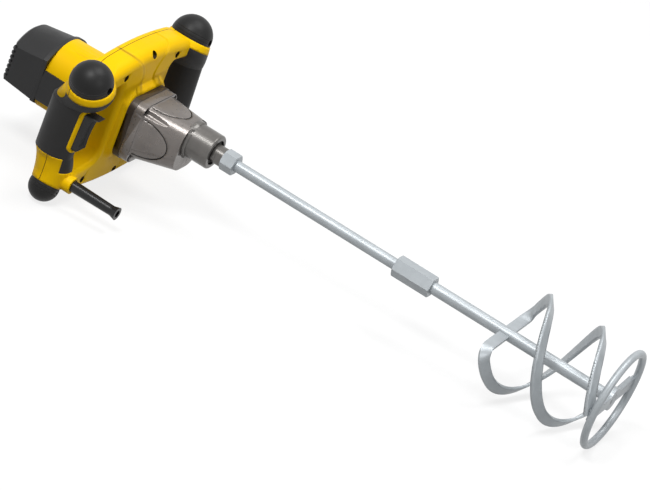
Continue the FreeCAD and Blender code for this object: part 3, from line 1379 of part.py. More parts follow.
def side_panel(side):
    """Dark panel on one flat side of the barrel."""
    low, high = sorted((0.0, side * BARREL_WIDTH))
    panel = block(-BARREL_REAR, -YOKE_REAR, low, high, -PANEL_BOTTOM, PANEL_TOP)
    upright = [edge for edge in panel.Edges if abs(edge.CenterOfMass.y - (low + high) / 2.0) < 1e-6]
    front_corners = [edge for edge in upright if edge.CenterOfMass.x > -BARREL_REAR + 1e-6]
    skin = barrel(-PANEL_THICKNESS, -BARREL_REAR).cut(barrel(0.0, -BARREL_REAR))
    return skin.common(panel.makeFillet(PANEL_ROUND, front_corners))


# Rear cover


def cover_section(x, inset, fall=0.0):
    """Section of the rear cover: flat sides, an arched top that sinks by the fall, and a sloping heel."""
    half = BARREL_WIDTH / 2.0 + COVER_SIDE_STEP - inset
    high = BARREL_WIDTH / 2.0 + BARREL_RISE - BARREL_FALL - COVER_STEP - fall - inset
    low = BARREL_LIFT + COVER_STEP + inset - BARREL_WIDTH / 2.0
    shoulder = high - COVER_ARCH
    corners_round = [(half, shoulder), (half, low + COVER_HEEL), (half - COVER_HEEL_WIDTH, low),
                     (COVER_HEEL_WIDTH - half, low), (-half, low + COVER_HEEL), (-half, shoulder)]
    points = [Vector(x, y, z) for y, z in corners_round]
    edges = [Part.LineSegment(first, second).toShape() for first, second in zip(points, points[1:])]
    edges.append(Part.Arc(points[-1], Vector(x, 0, high), points[0]).toShape())
    return Part.Wire(edges)


def cover_form(inset, start, end):
    """Cap behind the barrel, narrower at the rear and bevelled round its rear face."""
    rear = cover_section(start, inset + COVER_DRAFT + COVER_BEVEL, COVER_FALL)
    waist = cover_section(start + COVER_BEVEL, inset + COVER_DRAFT, COVER_FALL)
    return Part.makeLoft([rear, waist, cover_section(end, inset)], True, True)


def cover_screw_places():
    """Heights of the two screws that hold the rear cover."""
    half = BARREL_WIDTH / 2.0 - COVER_SCREW_DROP
    return [(0.0, half), (0.0, BARREL_LIFT - half)]


def cover_screw_length():
    """Length of a cover screw's shank, from its seat in the rear face into the carrier's plane."""
    return COVER_LENGTH - SCREW_RECESS + BARREL_REAR + brush_station() + BRUSH_WIDTH / 2.0


def cover_screws():
    """Screws that hold the rear cover."""
    return Part.makeCompound([screw(Vector(-COVER_END + SCREW_RECESS, y, z), FORWARD, cover_screw_length())
                              for y, z in cover_screw_places()])


def cover_screw_wells():
    """Holes for the cover screws."""
    return [screw_well(Vector(-COVER_END + SCREW_RECESS, y, z), FORWARD, cover_screw_length(),
                       SCREW_WELL_DIAMETER, 2.0 * SCREW_RECESS)
            for y, z in cover_screw_places()]


def rear_cover():
    """Black cap over the brushes, with the motor's rear bearing, screw posts and vents."""
    start = -COVER_END
    end = -BARREL_REAR
    form = cover_form(0.0, start, end)
    band_face = Part.Face(cover_section(end - COVER_BAND_LENGTH, -COVER_BAND_HEIGHT))
    band = band_face.extrude(FORWARD * COVER_BAND_LENGTH)
    room = cover_form(COVER_WALL, start + COVER_WALL, end + COVER_WALL)
    pocket = REAR_BEARING_DIAMETER + 2.0 * SEAT_FIT
    boss = rod(pocket + 2.0 * BEARING_POCKET_WALL, start + OVERCUT, start + COVER_WALL + REAR_BEARING_WIDTH)
    posts = [rod(SCREW_POST_DIAMETER, start + SCREW_RECESS / 2.0, end, y, z) for y, z in cover_screw_places()]
    shell = form.fuse(band).cut(room).multiFuse([boss] + [post.common(form) for post in posts])
    seat = rod(pocket, start + COVER_WALL, end)
    vents = []
    first = -VENT_PITCH * (VENT_COUNT - 1) / 2.0
    outer = BARREL_WIDTH / 2.0 + COVER_SIDE_STEP
    inner = outer - COVER_DRAFT - COVER_BEVEL - VENT_DEPTH
    for index in range(VENT_COUNT):
        z = first + index * VENT_PITCH
        for side in (1.0, -1.0):
            low, high = sorted((side * inner, side * outer))
            vents.append(block(start - COVER_WALL, start + VENT_LENGTH, low, high, z - VENT_WIDTH / 2.0,
                               z + VENT_WIDTH / 2.0))
    return largest(shell.cut([seat] + vents + cover_screw_wells())).removeSplitter()


# Grips, bumpers, trigger, switch and cord guard


def grip(side):
    """Soft sleeve moulded round one grip; the near one leaves the trigger's frame free."""
    skin = handle(side).common(sleeve_zone(side))
    skin = skin.cut([handle_core(side, RUNNING_FIT), trimmed_arms(rounded_plate(), 0.0)])
    if side < 0:
        skin = skin.cut(trigger_frame(RUNNING_FIT))
    return largest(skin)


def bumper_screw_head(side, way):
    """Seat of the screw that holds a bumper on its spigot."""
    place = bumper_base(side, way) + bumper_axis(side, way) * BUMPER_SCREW_RISE
    return place + FORWARD * (SPIGOT_DIAMETER / 2.0 + BUMPER_SCREW_SEAT)


def bumper_screw_length():
    """Length of a bumper screw's shank, through the rubber and most of the spigot's radius."""
    return BUMPER_SCREW_SEAT + BUMPER_SCREW_BITE


def bumper_screw_well(side, way):
    """Hole for a bumper's screw."""
    return screw_well(bumper_screw_head(side, way), FORWARD * -1.0, bumper_screw_length(),
                      SCREW_WELL_DIAMETER, UPPER_BUMPER_DIAMETER)


def bumper(side, way):
    """Rubber ball on one corner of the yoke, cut flat at its base."""
    base = bumper_base(side, way)
    axis = bumper_axis(side, way)
    radius, rise = bumper_ball(way)
    ball = Part.makeSphere(radius, base + axis * rise)
    keep = Part.makeCylinder(2.0 * radius, 2.0 * radius, base, axis)
    return ball.common(keep).cut([spigot(side, way, LOOSE_FIT), bumper_screw_well(side, way)])


def bumper_screws():
    """Screws that hold the four bumpers."""
    return Part.makeCompound([screw(bumper_screw_head(side, way), FORWARD * -1.0, bumper_screw_length())
                              for side, way in corners()])


def grip_front(z):
    """Station of the near grip's front at a height."""
    middle, depth = grip_section(-1.0, z)
    return middle + depth / 2.0


def trigger():
    """Finger lever: hollow front, beak over the finger, and a plunger into the switch."""
    low = -TRIGGER_BOTTOM
    high = TRIGGER_TOP
    foot = grip_front(low) + TRIGGER_STEP
    brow = grip_front(high) + TRIGGER_STEP
    y = -HALF_SPACING - TRIGGER_WIDTH / 2.0

    def at(x, z):
        return Vector(x, y, z)

    chin = at(foot, low + TRIGGER_STEP / 2.0)
    throat = at(brow, high - TRIGGER_BEAK)
    hollow = at((foot + brow) / 2.0 - TRIGGER_HOLLOW, (low + high) / 2.0)
    tip = at(brow + TRIGGER_BEAK, high - TRIGGER_ROUND / 2.0)
    crown = at(brow - TRIGGER_STEP / 2.0, high)
    rear = TRIGGER_REAR
    outline = [
        Part.LineSegment(at(rear, high), at(rear, low)).toShape(),
        Part.LineSegment(at(rear, low), at(foot - TRIGGER_STEP / 2.0, low)).toShape(),
        Part.LineSegment(at(foot - TRIGGER_STEP / 2.0, low), chin).toShape(),
        Part.Arc(chin, hollow, throat).toShape(),
        Part.Arc(throat, at(brow + TRIGGER_BEAK_BOW, high - TRIGGER_BEAK_DROP), tip).toShape(),
        Part.LineSegment(tip, crown).toShape(),
        Part.LineSegment(crown, at(rear, high)).toShape(),
    ]
    lever = Part.Face(Part.Wire(outline)).extrude(Vector(0, TRIGGER_WIDTH, 0))
    lever = lever.common(trigger_bar(TRIGGER_REAR, 0.0))
    half = PLUNGER_SIDE / 2.0
    middle = switch_middle()
    plunger = block(rear - PLUNGER_LENGTH, rear + OVERCUT, -HALF_SPACING - half, -HALF_SPACING + half,
                    middle - half, middle + half)
    return fused([lever, plunger])


def switch_front():
    """Station of the switch's front face, clear of the trigger's full travel."""
    return TRIGGER_REAR - TRIGGER_TRAVEL - SWITCH_GAP


def switch_rear():
    """Station of the switch's rear face."""
    return switch_front() - SWITCH_DEPTH


def switch_middle():
    """Height of the switch's and the trigger's middle."""
    return (TRIGGER_TOP - TRIGGER_BOTTOM) / 2.0


def switch_body():
    """Sealed switch in the near grip, with a slot for the trigger's plunger."""
    half = SWITCH_WIDTH / 2.0
    middle = switch_middle()
    body = block(switch_rear(), switch_front(), -HALF_SPACING - half, -HALF_SPACING + half,
                 middle - SWITCH_HEIGHT / 2.0, middle + SWITCH_HEIGHT / 2.0)
    half_slot = PLUNGER_SIDE / 2.0 + TRIGGER_GAP
    depth = PLUNGER_LENGTH + SWITCH_GAP
    slot = block(switch_front() - depth, switch_front() + OVERCUT, -HALF_SPACING - half_slot,
                 half_slot - HALF_SPACING, middle - half_slot, middle + half_slot)
    return body.cut(slot)


def cord_guard():
    """Rubber sleeve for the cord, seated in its gland and flared at its free end."""
    end = GUARD_START + GUARD_LENGTH
    flare = end - GUARD_FLARE_LENGTH
    base = Vector(GUARD_START, -GUARD_SIDE, -GUARD_DEPTH)
    root = gland(GUARD_ROOT_DIAMETER, GUARD_START - GUARD_SEAT, GUARD_START)
    tip_radius = GUARD_TIP_DIAMETER / 2.0
    taper = Part.makeCone(GUARD_ROOT_DIAMETER / 2.0, tip_radius, flare - GUARD_START, base, FORWARD)
    mouth = Part.makeCone(GUARD_TIP_DIAMETER / 2.0, GUARD_FLARE_DIAMETER / 2.0, GUARD_FLARE_LENGTH,
                          base + FORWARD * (flare - GUARD_START), FORWARD)
    bore = gland(GUARD_BORE, GUARD_START - GUARD_SEAT - OVERCUT, end + OVERCUT)
    return fused([root, taper, mouth]).cut(bore)


# Assembly


def pieces():
    """Every piece of the tool by its node's name, in the tool's own frame."""
    front, rear = casing_halves()
    named = {
        "casing_front": front,
        "casing_rear": rear,
        "casing_screws": casing_screws(),
        "rear_cover": rear_cover(),
        "cover_screws": cover_screws(),
        "side_panel_near": side_panel(-1.0),
        "side_panel_far": side_panel(1.0),
        "grip_near": grip(-1.0),
        "grip_far": grip(1.0),
        "bumper_screws": bumper_screws(),
        "trigger": trigger(),
        "switch_body": switch_body(),
        "cord_guard": cord_guard(),
        "gear_plate": gear_plate(),
        "gearbox_housing": gearbox_housing(),
        "gearbox_screws": gearbox_screws(),
        "gear_bushes": gear_bushes(),
        "nose_sleeve": nose_sleeve(),
        "spindle_bearing": spindle_bearing(),
        "oil_seal": oil_seal(),
        "field_core": field_core(),
        "field_coils": field_coils(),
        "motor_front_bearing": front_bearing(),
        "motor_rear_bearing": rear_bearing(),
        "brush_carrier": brush_carrier(),
        "brush_holders": brush_holders(),
        "carbon_brushes": carbon_brushes(),
        "brush_springs": brush_springs(),
        "armature_shaft": armature_shaft(),
        "armature_core": armature_core(),
        "armature_windings": armature_windings(),
        "commutator": commutator(),
        "fan": fan(),
        "middle_shaft": middle_shaft(),
        "middle_gear": middle_gear(),
        "spindle": spindle(),
        "spindle_gear": spindle_gear(),
        "spindle_circlip": spindle_circlip(),
        "paddle_hex": paddle_hex(),
        "upper_rod": upper_rod(),
        "coupling_nut": coupling_nut(),
        "lower_rod": lower_rod(),
        "ribbon_one": ribbon(180.0),
        "ribbon_two": ribbon(0.0),
        "ring": ring(),
        "cross_bar": cross_bar(),
    }
    names = {1.0: "far", -1.0: "near"}
    levels = {1.0: "upper", -1.0: "lower"}
    for side, way in corners():
        named["bumper_%s_%s" % (levels[way], names[side])] = bumper(side, way)
    return named


def foot_middle():
    """Middle of a lower bumper's ball."""
    return bumper_base(1.0, -1.0) + bumper_axis(1.0, -1.0) * LOWER_BUMPER_RISE


def rest_angle():
    """Angle by which the nose drops when the tool lies on its lower bumpers and the ring."""
    foot = foot_middle()
    foot_radius = LOWER_BUMPER_DIAMETER / 2.0
    bar_radius = RING_BAR / 2.0
    run = RING_STATION - foot.x
    climb = SPINDLE_RISE - RING_RADIUS - foot.z
    return math.atan2(climb, run) + math.asin((foot_radius - bar_radius) / math.hypot(run, climb))


def laid_down(shapes):
    """Turn that lays the tool on the floor, with the origin under the middle of its box."""
    turn = FreeCAD.Rotation(Vector(0, 1, 0), math.degrees(rest_angle()))
    foot = turn.multVec(foot_middle())
    turned = FreeCAD.Placement(Vector(0, 0, LOWER_BUMPER_DIAMETER / 2.0 - foot.z), turn)
    box = FreeCAD.BoundBox()
    for shape in shapes:
        box.add(shape.transformed(turned.toMatrix(), True).optimalBoundingBox())
    return FreeCAD.Placement(Vector(-box.Center.x, -box.Center.y, turned.Base.z), turn)


def main():
    """Build every piece, lay it down and write it to its own file."""
    os.makedirs("parts", exist_ok=True)
    named = pieces()
    outline = [named[name] for name in ("rear_cover", "bumper_lower_near", "bumper_lower_far", "ring")]
    placement = laid_down(outline)
    for name, shape in named.items():
        shape.transformed(placement.toMatrix(), True).exportStep("parts/%s.step" % name)
    print("pieces", len(named), "rest angle", round(math.degrees(rest_angle()), 3), "base", placement.Base)


if __name__ == "__main__":
    main()
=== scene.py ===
"""Looks of a two-handled mixing drill.

Finishes, moulded details, floor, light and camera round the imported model.
"""
import json
import logging
import math
from dataclasses import dataclass, field
from enum import Enum
from typing import Sequence

import bpy
from mathutils import Matrix, Vector


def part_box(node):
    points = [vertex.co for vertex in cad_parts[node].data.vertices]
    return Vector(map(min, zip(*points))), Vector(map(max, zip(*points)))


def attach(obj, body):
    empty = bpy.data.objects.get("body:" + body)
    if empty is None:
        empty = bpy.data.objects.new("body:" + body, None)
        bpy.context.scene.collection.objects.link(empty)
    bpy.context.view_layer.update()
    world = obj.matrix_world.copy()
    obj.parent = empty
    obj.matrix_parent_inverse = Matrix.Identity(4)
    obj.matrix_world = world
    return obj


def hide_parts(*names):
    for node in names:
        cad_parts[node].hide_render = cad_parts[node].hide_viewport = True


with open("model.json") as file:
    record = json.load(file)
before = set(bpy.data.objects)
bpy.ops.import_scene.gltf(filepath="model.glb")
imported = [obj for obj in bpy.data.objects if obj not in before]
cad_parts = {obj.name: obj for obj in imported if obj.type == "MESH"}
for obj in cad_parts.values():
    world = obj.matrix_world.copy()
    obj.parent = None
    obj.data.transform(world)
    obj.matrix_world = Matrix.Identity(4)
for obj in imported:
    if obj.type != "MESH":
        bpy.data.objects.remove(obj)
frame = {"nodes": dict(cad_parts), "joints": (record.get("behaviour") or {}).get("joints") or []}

LOG = logging.getLogger("mixing_drill")
PHOTO_WIDTH = 650.0
MM = 0.001
WHITE = (1.0, 1.0, 1.0, 1.0)

# Curve from screen colours to linear light.
SCREEN_TOP = 255.0
SCREEN_KNEE = 0.04045
SCREEN_SLOPE = 12.92
SCREEN_OFFSET = 0.055
SCREEN_POWER = 2.4

# Sockets of the node that mixes colours.
MIX_SHARE = 0
MIX_BELOW = 6
MIX_OVER = 7
MIX_RESULT = 2

Colour = tuple[float, float, float]
Socket = bpy.types.NodeSocket


class Body(Enum):
    """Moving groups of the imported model."""

    TOOL = "tool_body"
    PADDLE = "spindle_paddle"
    MIDDLE = "intermediate"
    ARMATURE = "armature"
    TRIGGER = "trigger"


class Slot(Enum):
    """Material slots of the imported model."""

    YELLOW = "yellow_casing"
    PLASTIC = "black_plastic"
    RUBBER = "black_rubber"
    CASTING = "gearbox_metal"
    DARK = "dark_steel"
    ZINC = "zinc_steel"
    MACHINED = "machined_steel"
    IRON = "iron_stack"
    COPPER = "copper"
    BRONZE = "bronze"
    CARBON = "carbon"


class Extra(Enum):
    """Finishes that differ from the plain one of their slot."""

    PLATE = "plate_gunmetal"
    # Screws in near-black grey rather than the bright steel of their slot.
    SCREW = "blackened_screw"
    BUMPER = "bumper_rubber"
    GUARD = "guard_rubber"
    # Painted shade for the floor of the trigger's hollow.
    LEVER = "lever_plastic"


def linear(colour: Colour) -> tuple[float, float, float, float]:
    """Turn a screen colour into a shader colour.

    Args:
        colour: Red, green and blue from 0 to 255.

    Returns:
        The same colour in linear light, with full alpha.
    """
    parts = [channel / SCREEN_TOP for channel in colour]
    red, green, blue = (
        part / SCREEN_SLOPE if part <= SCREEN_KNEE
        else ((part + SCREEN_OFFSET) / (1.0 + SCREEN_OFFSET)) ** SCREEN_POWER
        for part in parts)
    return red, green, blue, 1.0


@dataclass(frozen=True)
class ToolFrame:
    """The tool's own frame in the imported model: +X along the motor to the paddle, +Z up, in millimetres."""

    origin: Vector
    forward: Vector

    @classmethod
    def packed(cls) -> "ToolFrame":
        """Frame read from the motor's joint."""
        joint = next(item for item in frame["joints"] if item["name"] == "armature_spin")
        return cls(Vector(joint["pos_m"]), Vector(joint["axis"]).normalized())

    @property
    def draw(self) -> float:
        """Turn about +Y that takes +X to the tool's line."""
        return math.atan2(-self.forward.z, self.forward.x)

    def matrix(self) -> Matrix:
        """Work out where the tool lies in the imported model.

        Returns:
            Rotation and place of the tool.
        """
        across = Vector((0.0, 1.0, 0.0))
        up = self.forward.cross(across)
        turn = Matrix((self.forward, across, up)).transposed().to_4x4()
        turn.translation = self.origin
        return turn

    def at(self, x: float, y: float, z: float) -> Vector:
        """Place of a point of the tool, given in millimetres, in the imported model."""
        return self.matrix() @ Vector((x * MM, y * MM, z * MM))


@dataclass(frozen=True)
class Cloud:
    """Cloudy variation: features per metre, layers of finer noise and the strength of those layers."""

    scale: float
    detail: float = 3.0
    rough: float = 0.55


class Recipe:
    """Node tree of one finish, read on Object coordinates."""

    noise_low: float = 0.25
    noise_high: float = 0.75
    line_foot: float = 0.8
    line_top: float = 0.3
    cell_blur: float = 0.6
    band_detail: float = 2.0
    open_samples: int = 16

    def __init__(self, name: str) -> None:
        """Start a material with its shader and its coordinates.

        Args:
            name: Name of the material.
        """
        self.material = bpy.data.materials.new(name)
        self.material.use_nodes = True
        self.nodes = self.material.node_tree.nodes
        self.links = self.material.node_tree.links
        self.shader = self.nodes["Principled BSDF"]
        self.place = self.nodes.new("ShaderNodeTexCoord").outputs["Object"]

    def turned(self, turn: float) -> bpy.types.Node:
        """Turn the coordinates to the tool's line.

        Args:
            turn: Turn about +Y in radians.

        Returns:
            The mapping node.
        """
        mapping = self.nodes.new("ShaderNodeMapping")
        mapping.vector_type = "TEXTURE"
        mapping.inputs["Rotation"].default_value = (0.0, turn, 0.0)
        self.links.new(self.place, mapping.inputs["Vector"])
        return mapping

    def stretched(self, scale: Sequence[float], turn: float) -> Socket:
        """Coordinates drawn out along the tool.

        Args:
            scale: Scale along each axis.
            turn: Turn about +Y in radians.

        Returns:
            The mapped coordinates.
        """
        mapping = self.turned(turn)
        mapping.inputs["Scale"].default_value = [1.0 / part for part in scale]
        return mapping.outputs["Vector"]

    def in_tool(self, tool: ToolFrame) -> tuple[Socket, ...]:
        """Coordinates in the tool's own frame.

        Args:
            tool: Frame of the tool.

        Returns:
            Forward, across and up, in metres from the motor's line in the yoke.
        """
        mapping = self.turned(tool.draw)
        mapping.inputs["Location"].default_value = tool.origin
        parts = self.nodes.new("ShaderNodeSeparateXYZ")
        self.links.new(mapping.outputs["Vector"], parts.inputs["Vector"])
        return tuple(parts.outputs)

    def calc(self, operation: str, first: Socket, second: Socket | float = 0.0) -> Socket:
        """Work out one sum.

        Args:
            operation: Name of the sum.
            first: First value.
            second: Second value, linked or plain.

        Returns:
            The result.
        """
        node = self.nodes.new("ShaderNodeMath")
        node.operation = operation
        self.links.new(first, node.inputs[0])
        if isinstance(second, float):
            node.inputs[1].default_value = second
        else:
            self.links.new(second, node.inputs[1])
        return node.outputs["Value"]

    def square_from(self, value: Socket, place: float) -> Socket:
        """Square of the distance from a place."""
        return self.calc("POWER", self.calc("SUBTRACT", value, place), 2.0)

    def ramp(self, value: Socket, start: float, end: float) -> Socket:
        """Rise softly from 0 to 1.

        Args:
            value: Value to read.
            start: Value at which the result is 0.
            end: Value at which the result is 1.

        Returns:
            The soft step.
        """
        node = self.nodes.new("ShaderNodeMapRange")
        node.interpolation_type = "SMOOTHSTEP"
        node.inputs["From Min"].default_value = start
        node.inputs["From Max"].default_value = end
        self.links.new(value, node.inputs["Value"])
        return node.outputs["Result"]

    def line(self, value: Socket, place: float, width: float) -> Socket:
        """Thin soft line across a direction, 1 on the line and 0 off it."""
        off = self.calc("ABSOLUTE", self.calc("SUBTRACT", value, place))
        return self.ramp(off, self.line_foot * width, self.line_top * width)

    def mix(self, below: Socket | Colour, share: Socket, over: Colour) -> Socket:
        """Lay a colour over another.

        Args:
            below: Lower colour, linked or plain.
            share: Share of the upper colour.
            over: Upper colour.

        Returns:
            The mixed colour.
        """
        node = self.nodes.new("ShaderNodeMix")
        node.data_type = "RGBA"
        node.inputs[MIX_OVER].default_value = linear(over)
        self.links.new(share, node.inputs[MIX_SHARE])
        if isinstance(below, tuple):
            node.inputs[MIX_BELOW].default_value = linear(below)
        else:
            self.links.new(below, node.inputs[MIX_BELOW])
        return node.outputs[MIX_RESULT]

    def noise(self, cloud: Cloud, source: Socket | None = None) -> Socket:
        """Cloudy variation.

        Args:
            cloud: Size and layers of the variation.
            source: Coordinates, or the plain ones.

        Returns:
            The noise as a value.
        """
        node = self.nodes.new("ShaderNodeTexNoise")
        node.inputs["Scale"].default_value = cloud.scale
        node.inputs["Detail"].default_value = cloud.detail
        node.inputs["Roughness"].default_value = cloud.rough
        self.links.new(source or self.place, node.inputs["Vector"])
        return node.outputs["Fac"]

    def cells(self, scale: float) -> Socket:
        """Fine rounded grain, as spark-eroded moulds give it.

        Args:
            scale: Cells per metre.

        Returns:
            Distance to the nearest grain.
        """
        node = self.nodes.new("ShaderNodeTexVoronoi")
        node.feature = "SMOOTH_F1"
        node.inputs["Scale"].default_value = scale
        node.inputs["Smoothness"].default_value = self.cell_blur
        self.links.new(self.place, node.inputs["Vector"])
        return node.outputs["Distance"]

    def open_share(self, reach: float) -> Socket:
        """Share of the directions round a point that its own piece leaves open.

        Args:
            reach: How far to look, in metres.

        Returns:
            1 in the open and less in grooves and corners.
        """
        node = self.nodes.new("ShaderNodeAmbientOcclusion")
        node.only_local = True
        node.samples = self.open_samples
        node.inputs["Distance"].default_value = reach
        return node.outputs["AO"]

    def bands(self, scale: float, wander: float, source: Socket) -> Socket:
        """Straight bands across X.

        Args:
            scale: Scale of the wave.
            wander: Distortion of the bands.
            source: Coordinates to read.

        Returns:
            The band's height.
        """
        node = self.nodes.new("ShaderNodeTexWave")
        node.inputs["Scale"].default_value = scale
        node.inputs["Distortion"].default_value = wander
        node.inputs["Detail"].default_value = self.band_detail
        self.links.new(source, node.inputs["Vector"])
        return node.outputs["Fac"]

    def spread(self, value: Socket, low: float, high: float) -> Socket:
        """Spread a noise over a range of values.

        Args:
            value: Noise round one half.
            low: Result at its low end.
            high: Result at its high end.

        Returns:
            The spread value.
        """
        node = self.nodes.new("ShaderNodeMapRange")
        node.inputs["From Min"].default_value = self.noise_low
        node.inputs["From Max"].default_value = self.noise_high
        node.inputs["To Min"].default_value = low
        node.inputs["To Max"].default_value = high
        self.links.new(value, node.inputs["Value"])
        return node.outputs["Result"]

    def bump(self, height: Socket, depth: float, under: Socket | None = None) -> Socket:
        """Small relief.

        Args:
            height: Height of the surface.
            depth: Depth of the relief in metres.
            under: Relief that this one lies on.

        Returns:
            The bent normal.
        """
        node = self.nodes.new("ShaderNodeBump")
        node.inputs["Strength"].default_value = 1.0
        node.inputs["Distance"].default_value = depth
        self.links.new(height, node.inputs["Height"])
        if under is not None:
            self.links.new(under, node.inputs["Normal"])
        return node.outputs["Normal"]

    def plug(self, socket: str, value: Socket) -> None:
        """Link a value to a socket of the shader."""
        self.links.new(value, self.shader.inputs[socket])

    def set(self, socket: str, value: float) -> None:
        """Set a plain number on a socket of the shader."""
        self.shader.inputs[socket].default_value = value


@dataclass(frozen=True, kw_only=True)
class Finish:
    """Two tones and a range of gloss. Lengths of the finishes are in metres."""

    name: str
    dark: Colour
    light: Colour
    gloss: tuple[float, float]

    def colour(self, recipe: Recipe, value: Socket) -> Socket:
        """Colour between the two tones, spread by a noise."""
        return recipe.mix(self.dark, recipe.spread(value, 0.0, 1.0), self.light)

    def roughness(self, recipe: Recipe, value: Socket) -> Socket:
        """Roughness within the range of gloss, spread by a noise."""
        return recipe.spread(value, *self.gloss)


@dataclass(frozen=True, kw_only=True)
class CasingPlastic(Finish):
    """Satin yellow moulding with the seam of its halves, the stepped ends of its arms and painted shade in
    its screw wells.
    """

    tool: ToolFrame
    tone: Cloud = Cloud(9.0, 4.0)
    haze: Cloud = Cloud(60.0, 4.0)
    shine: float = 0.12
    grain_scale: float = 2600.0
    grain_depth: float = 0.008 * MM
    gap: Colour = (92, 62, 0)
    seam_place: float = -8.0 * MM
    seam_width: float = 0.7 * MM
    step_reach: float = 9.0 * MM
    step_bow: float = 23.4
    step_middle: float = 52.0 * MM
    step_floor: float = 34.0 * MM
    step_width: float = 6.5 * MM
    step_height: float = 5.0 * MM
    # Colour of the painted shade inside the screw wells.
    well_shade: Colour = (26, 20, 4)
    well_edge: tuple[float, float] = (4.264 * MM, 3.977 * MM)
    well_floor: float = 2.0 * MM
    well_places: tuple[tuple[float, float], ...] = (
        (0.0, 79.6 * MM), (0.0, -69.6 * MM), (54.0 * MM, 66.0 * MM), (72.0 * MM, -60.0 * MM))

    def painted_well_shade(self, recipe: Recipe, aside: Socket, up: Socket) -> Socket:
        """Painted shade in the screw wells.

        Args:
            recipe: Recipe of the casing.
            aside: Distance to either side of the tool.
            up: Place above the motor's line.

        Returns:
            1 inside a screw hole, where shade is painted, and 0 outside.
        """
        nearest = None
        for place, height in self.well_places:
            square = recipe.calc("ADD", recipe.square_from(aside, place), recipe.square_from(up, height))
            away = recipe.calc("SQRT", square)
            nearest = away if nearest is None else recipe.calc("MINIMUM", nearest, away)
        return recipe.ramp(nearest, *self.well_edge)

    def steps(self, recipe: Recipe, aside: Socket, up: Socket) -> Socket:
        """Stepped ends of the upper arms.

        Args:
            recipe: Recipe of the casing.
            aside: Distance to either side of the tool.
            up: Place above the motor's line.

        Returns:
            1 on the arms and 0 between them.
        """
        bow = recipe.calc("MULTIPLY", recipe.square_from(up, self.step_middle), self.step_bow)
        beyond = recipe.calc("SUBTRACT", aside, recipe.calc("ADD", bow, self.step_reach))
        return recipe.calc("MULTIPLY", recipe.ramp(beyond, 0.0, self.step_width),
                           recipe.ramp(up, self.step_floor, self.step_middle))

    def make(self) -> bpy.types.Material:
        """Make the yellow of the casing.

        Returns:
            The material.
        """
        recipe = Recipe(self.name)
        forward, across, up = recipe.in_tool(self.tool)
        aside = recipe.calc("ABSOLUTE", across)
        seam = recipe.line(forward, self.seam_place, self.seam_width)
        ahead = recipe.ramp(forward, 0.0, self.well_floor)
        # Painted shade darkens the yellow inside the screw wells.
        painted_well_shade = recipe.calc("MULTIPLY", self.painted_well_shade(recipe, aside, up), ahead)
        colour = recipe.mix(self.colour(recipe, recipe.noise(self.tone)), seam, self.gap)
        recipe.plug("Base Color", recipe.mix(colour, painted_well_shade, self.well_shade))
        recipe.plug("Roughness", self.roughness(recipe, recipe.noise(self.haze)))
        relief = recipe.bump(self.steps(recipe, aside, up), self.step_height)
        recipe.plug("Normal", recipe.bump(recipe.cells(self.grain_scale), self.grain_depth, relief))
        recipe.set("Specular IOR Level", self.shine)
        return recipe.material


@dataclass(frozen=True, kw_only=True)
class MouldedPlastic(Finish):
    """Hard moulded plastic with a fine eroded grain and a satin gloss."""

    tone: Cloud = Cloud(9.0, 4.0)
    haze: Cloud = Cloud(60.0, 4.0)
    shine: float = 0.35
    grain_scale: float = 1800.0
    grain_depth: float = 0.03 * MM
    flow: Cloud = Cloud(30.0, 1.0)
    flow_share: float = 4.0

    def make(self) -> bpy.types.Material:
        """Make the plastic.

        Returns:
            The material.
        """
        recipe = Recipe(self.name)
        recipe.plug("Base Color", self.colour(recipe, recipe.noise(self.tone)))
        recipe.plug("Roughness", self.roughness(recipe, recipe.noise(self.haze)))
        flow = recipe.bump(recipe.noise(self.flow), self.flow_share * self.grain_depth)
        recipe.plug("Normal", recipe.bump(recipe.cells(self.grain_scale), self.grain_depth, flow))
        recipe.set("Specular IOR Level", self.shine)
        return recipe.material


@dataclass(frozen=True, kw_only=True)
class SoftRubber(Finish):
    """Matt rubber with a dry stipple and a dusty sheen."""

    tone: Cloud = Cloud(22.0, 5.0, 0.65)
    haze: Cloud = Cloud(45.0, 4.0)
    shine: float = 0.3
    stipple: Cloud = Cloud(1500.0, 2.0)
    stipple_depth: float = 0.03 * MM
    dust: float = 0.04
    dust_blur: float = 0.5

    def make(self) -> bpy.types.Material:
        """Make the rubber.

        Returns:
            The material.
        """
        recipe = Recipe(self.name)
        recipe.plug("Base Color", self.colour(recipe, recipe.noise(self.tone)))
        recipe.plug("Roughness", self.roughness(recipe, recipe.noise(self.haze)))
        recipe.plug("Normal", recipe.bump(recipe.noise(self.stipple), self.stipple_depth))
        recipe.set("Specular IOR Level", self.shine)
        recipe.set("Sheen Weight", self.dust)
        recipe.set("Sheen Roughness", self.dust_blur)
        return recipe.material


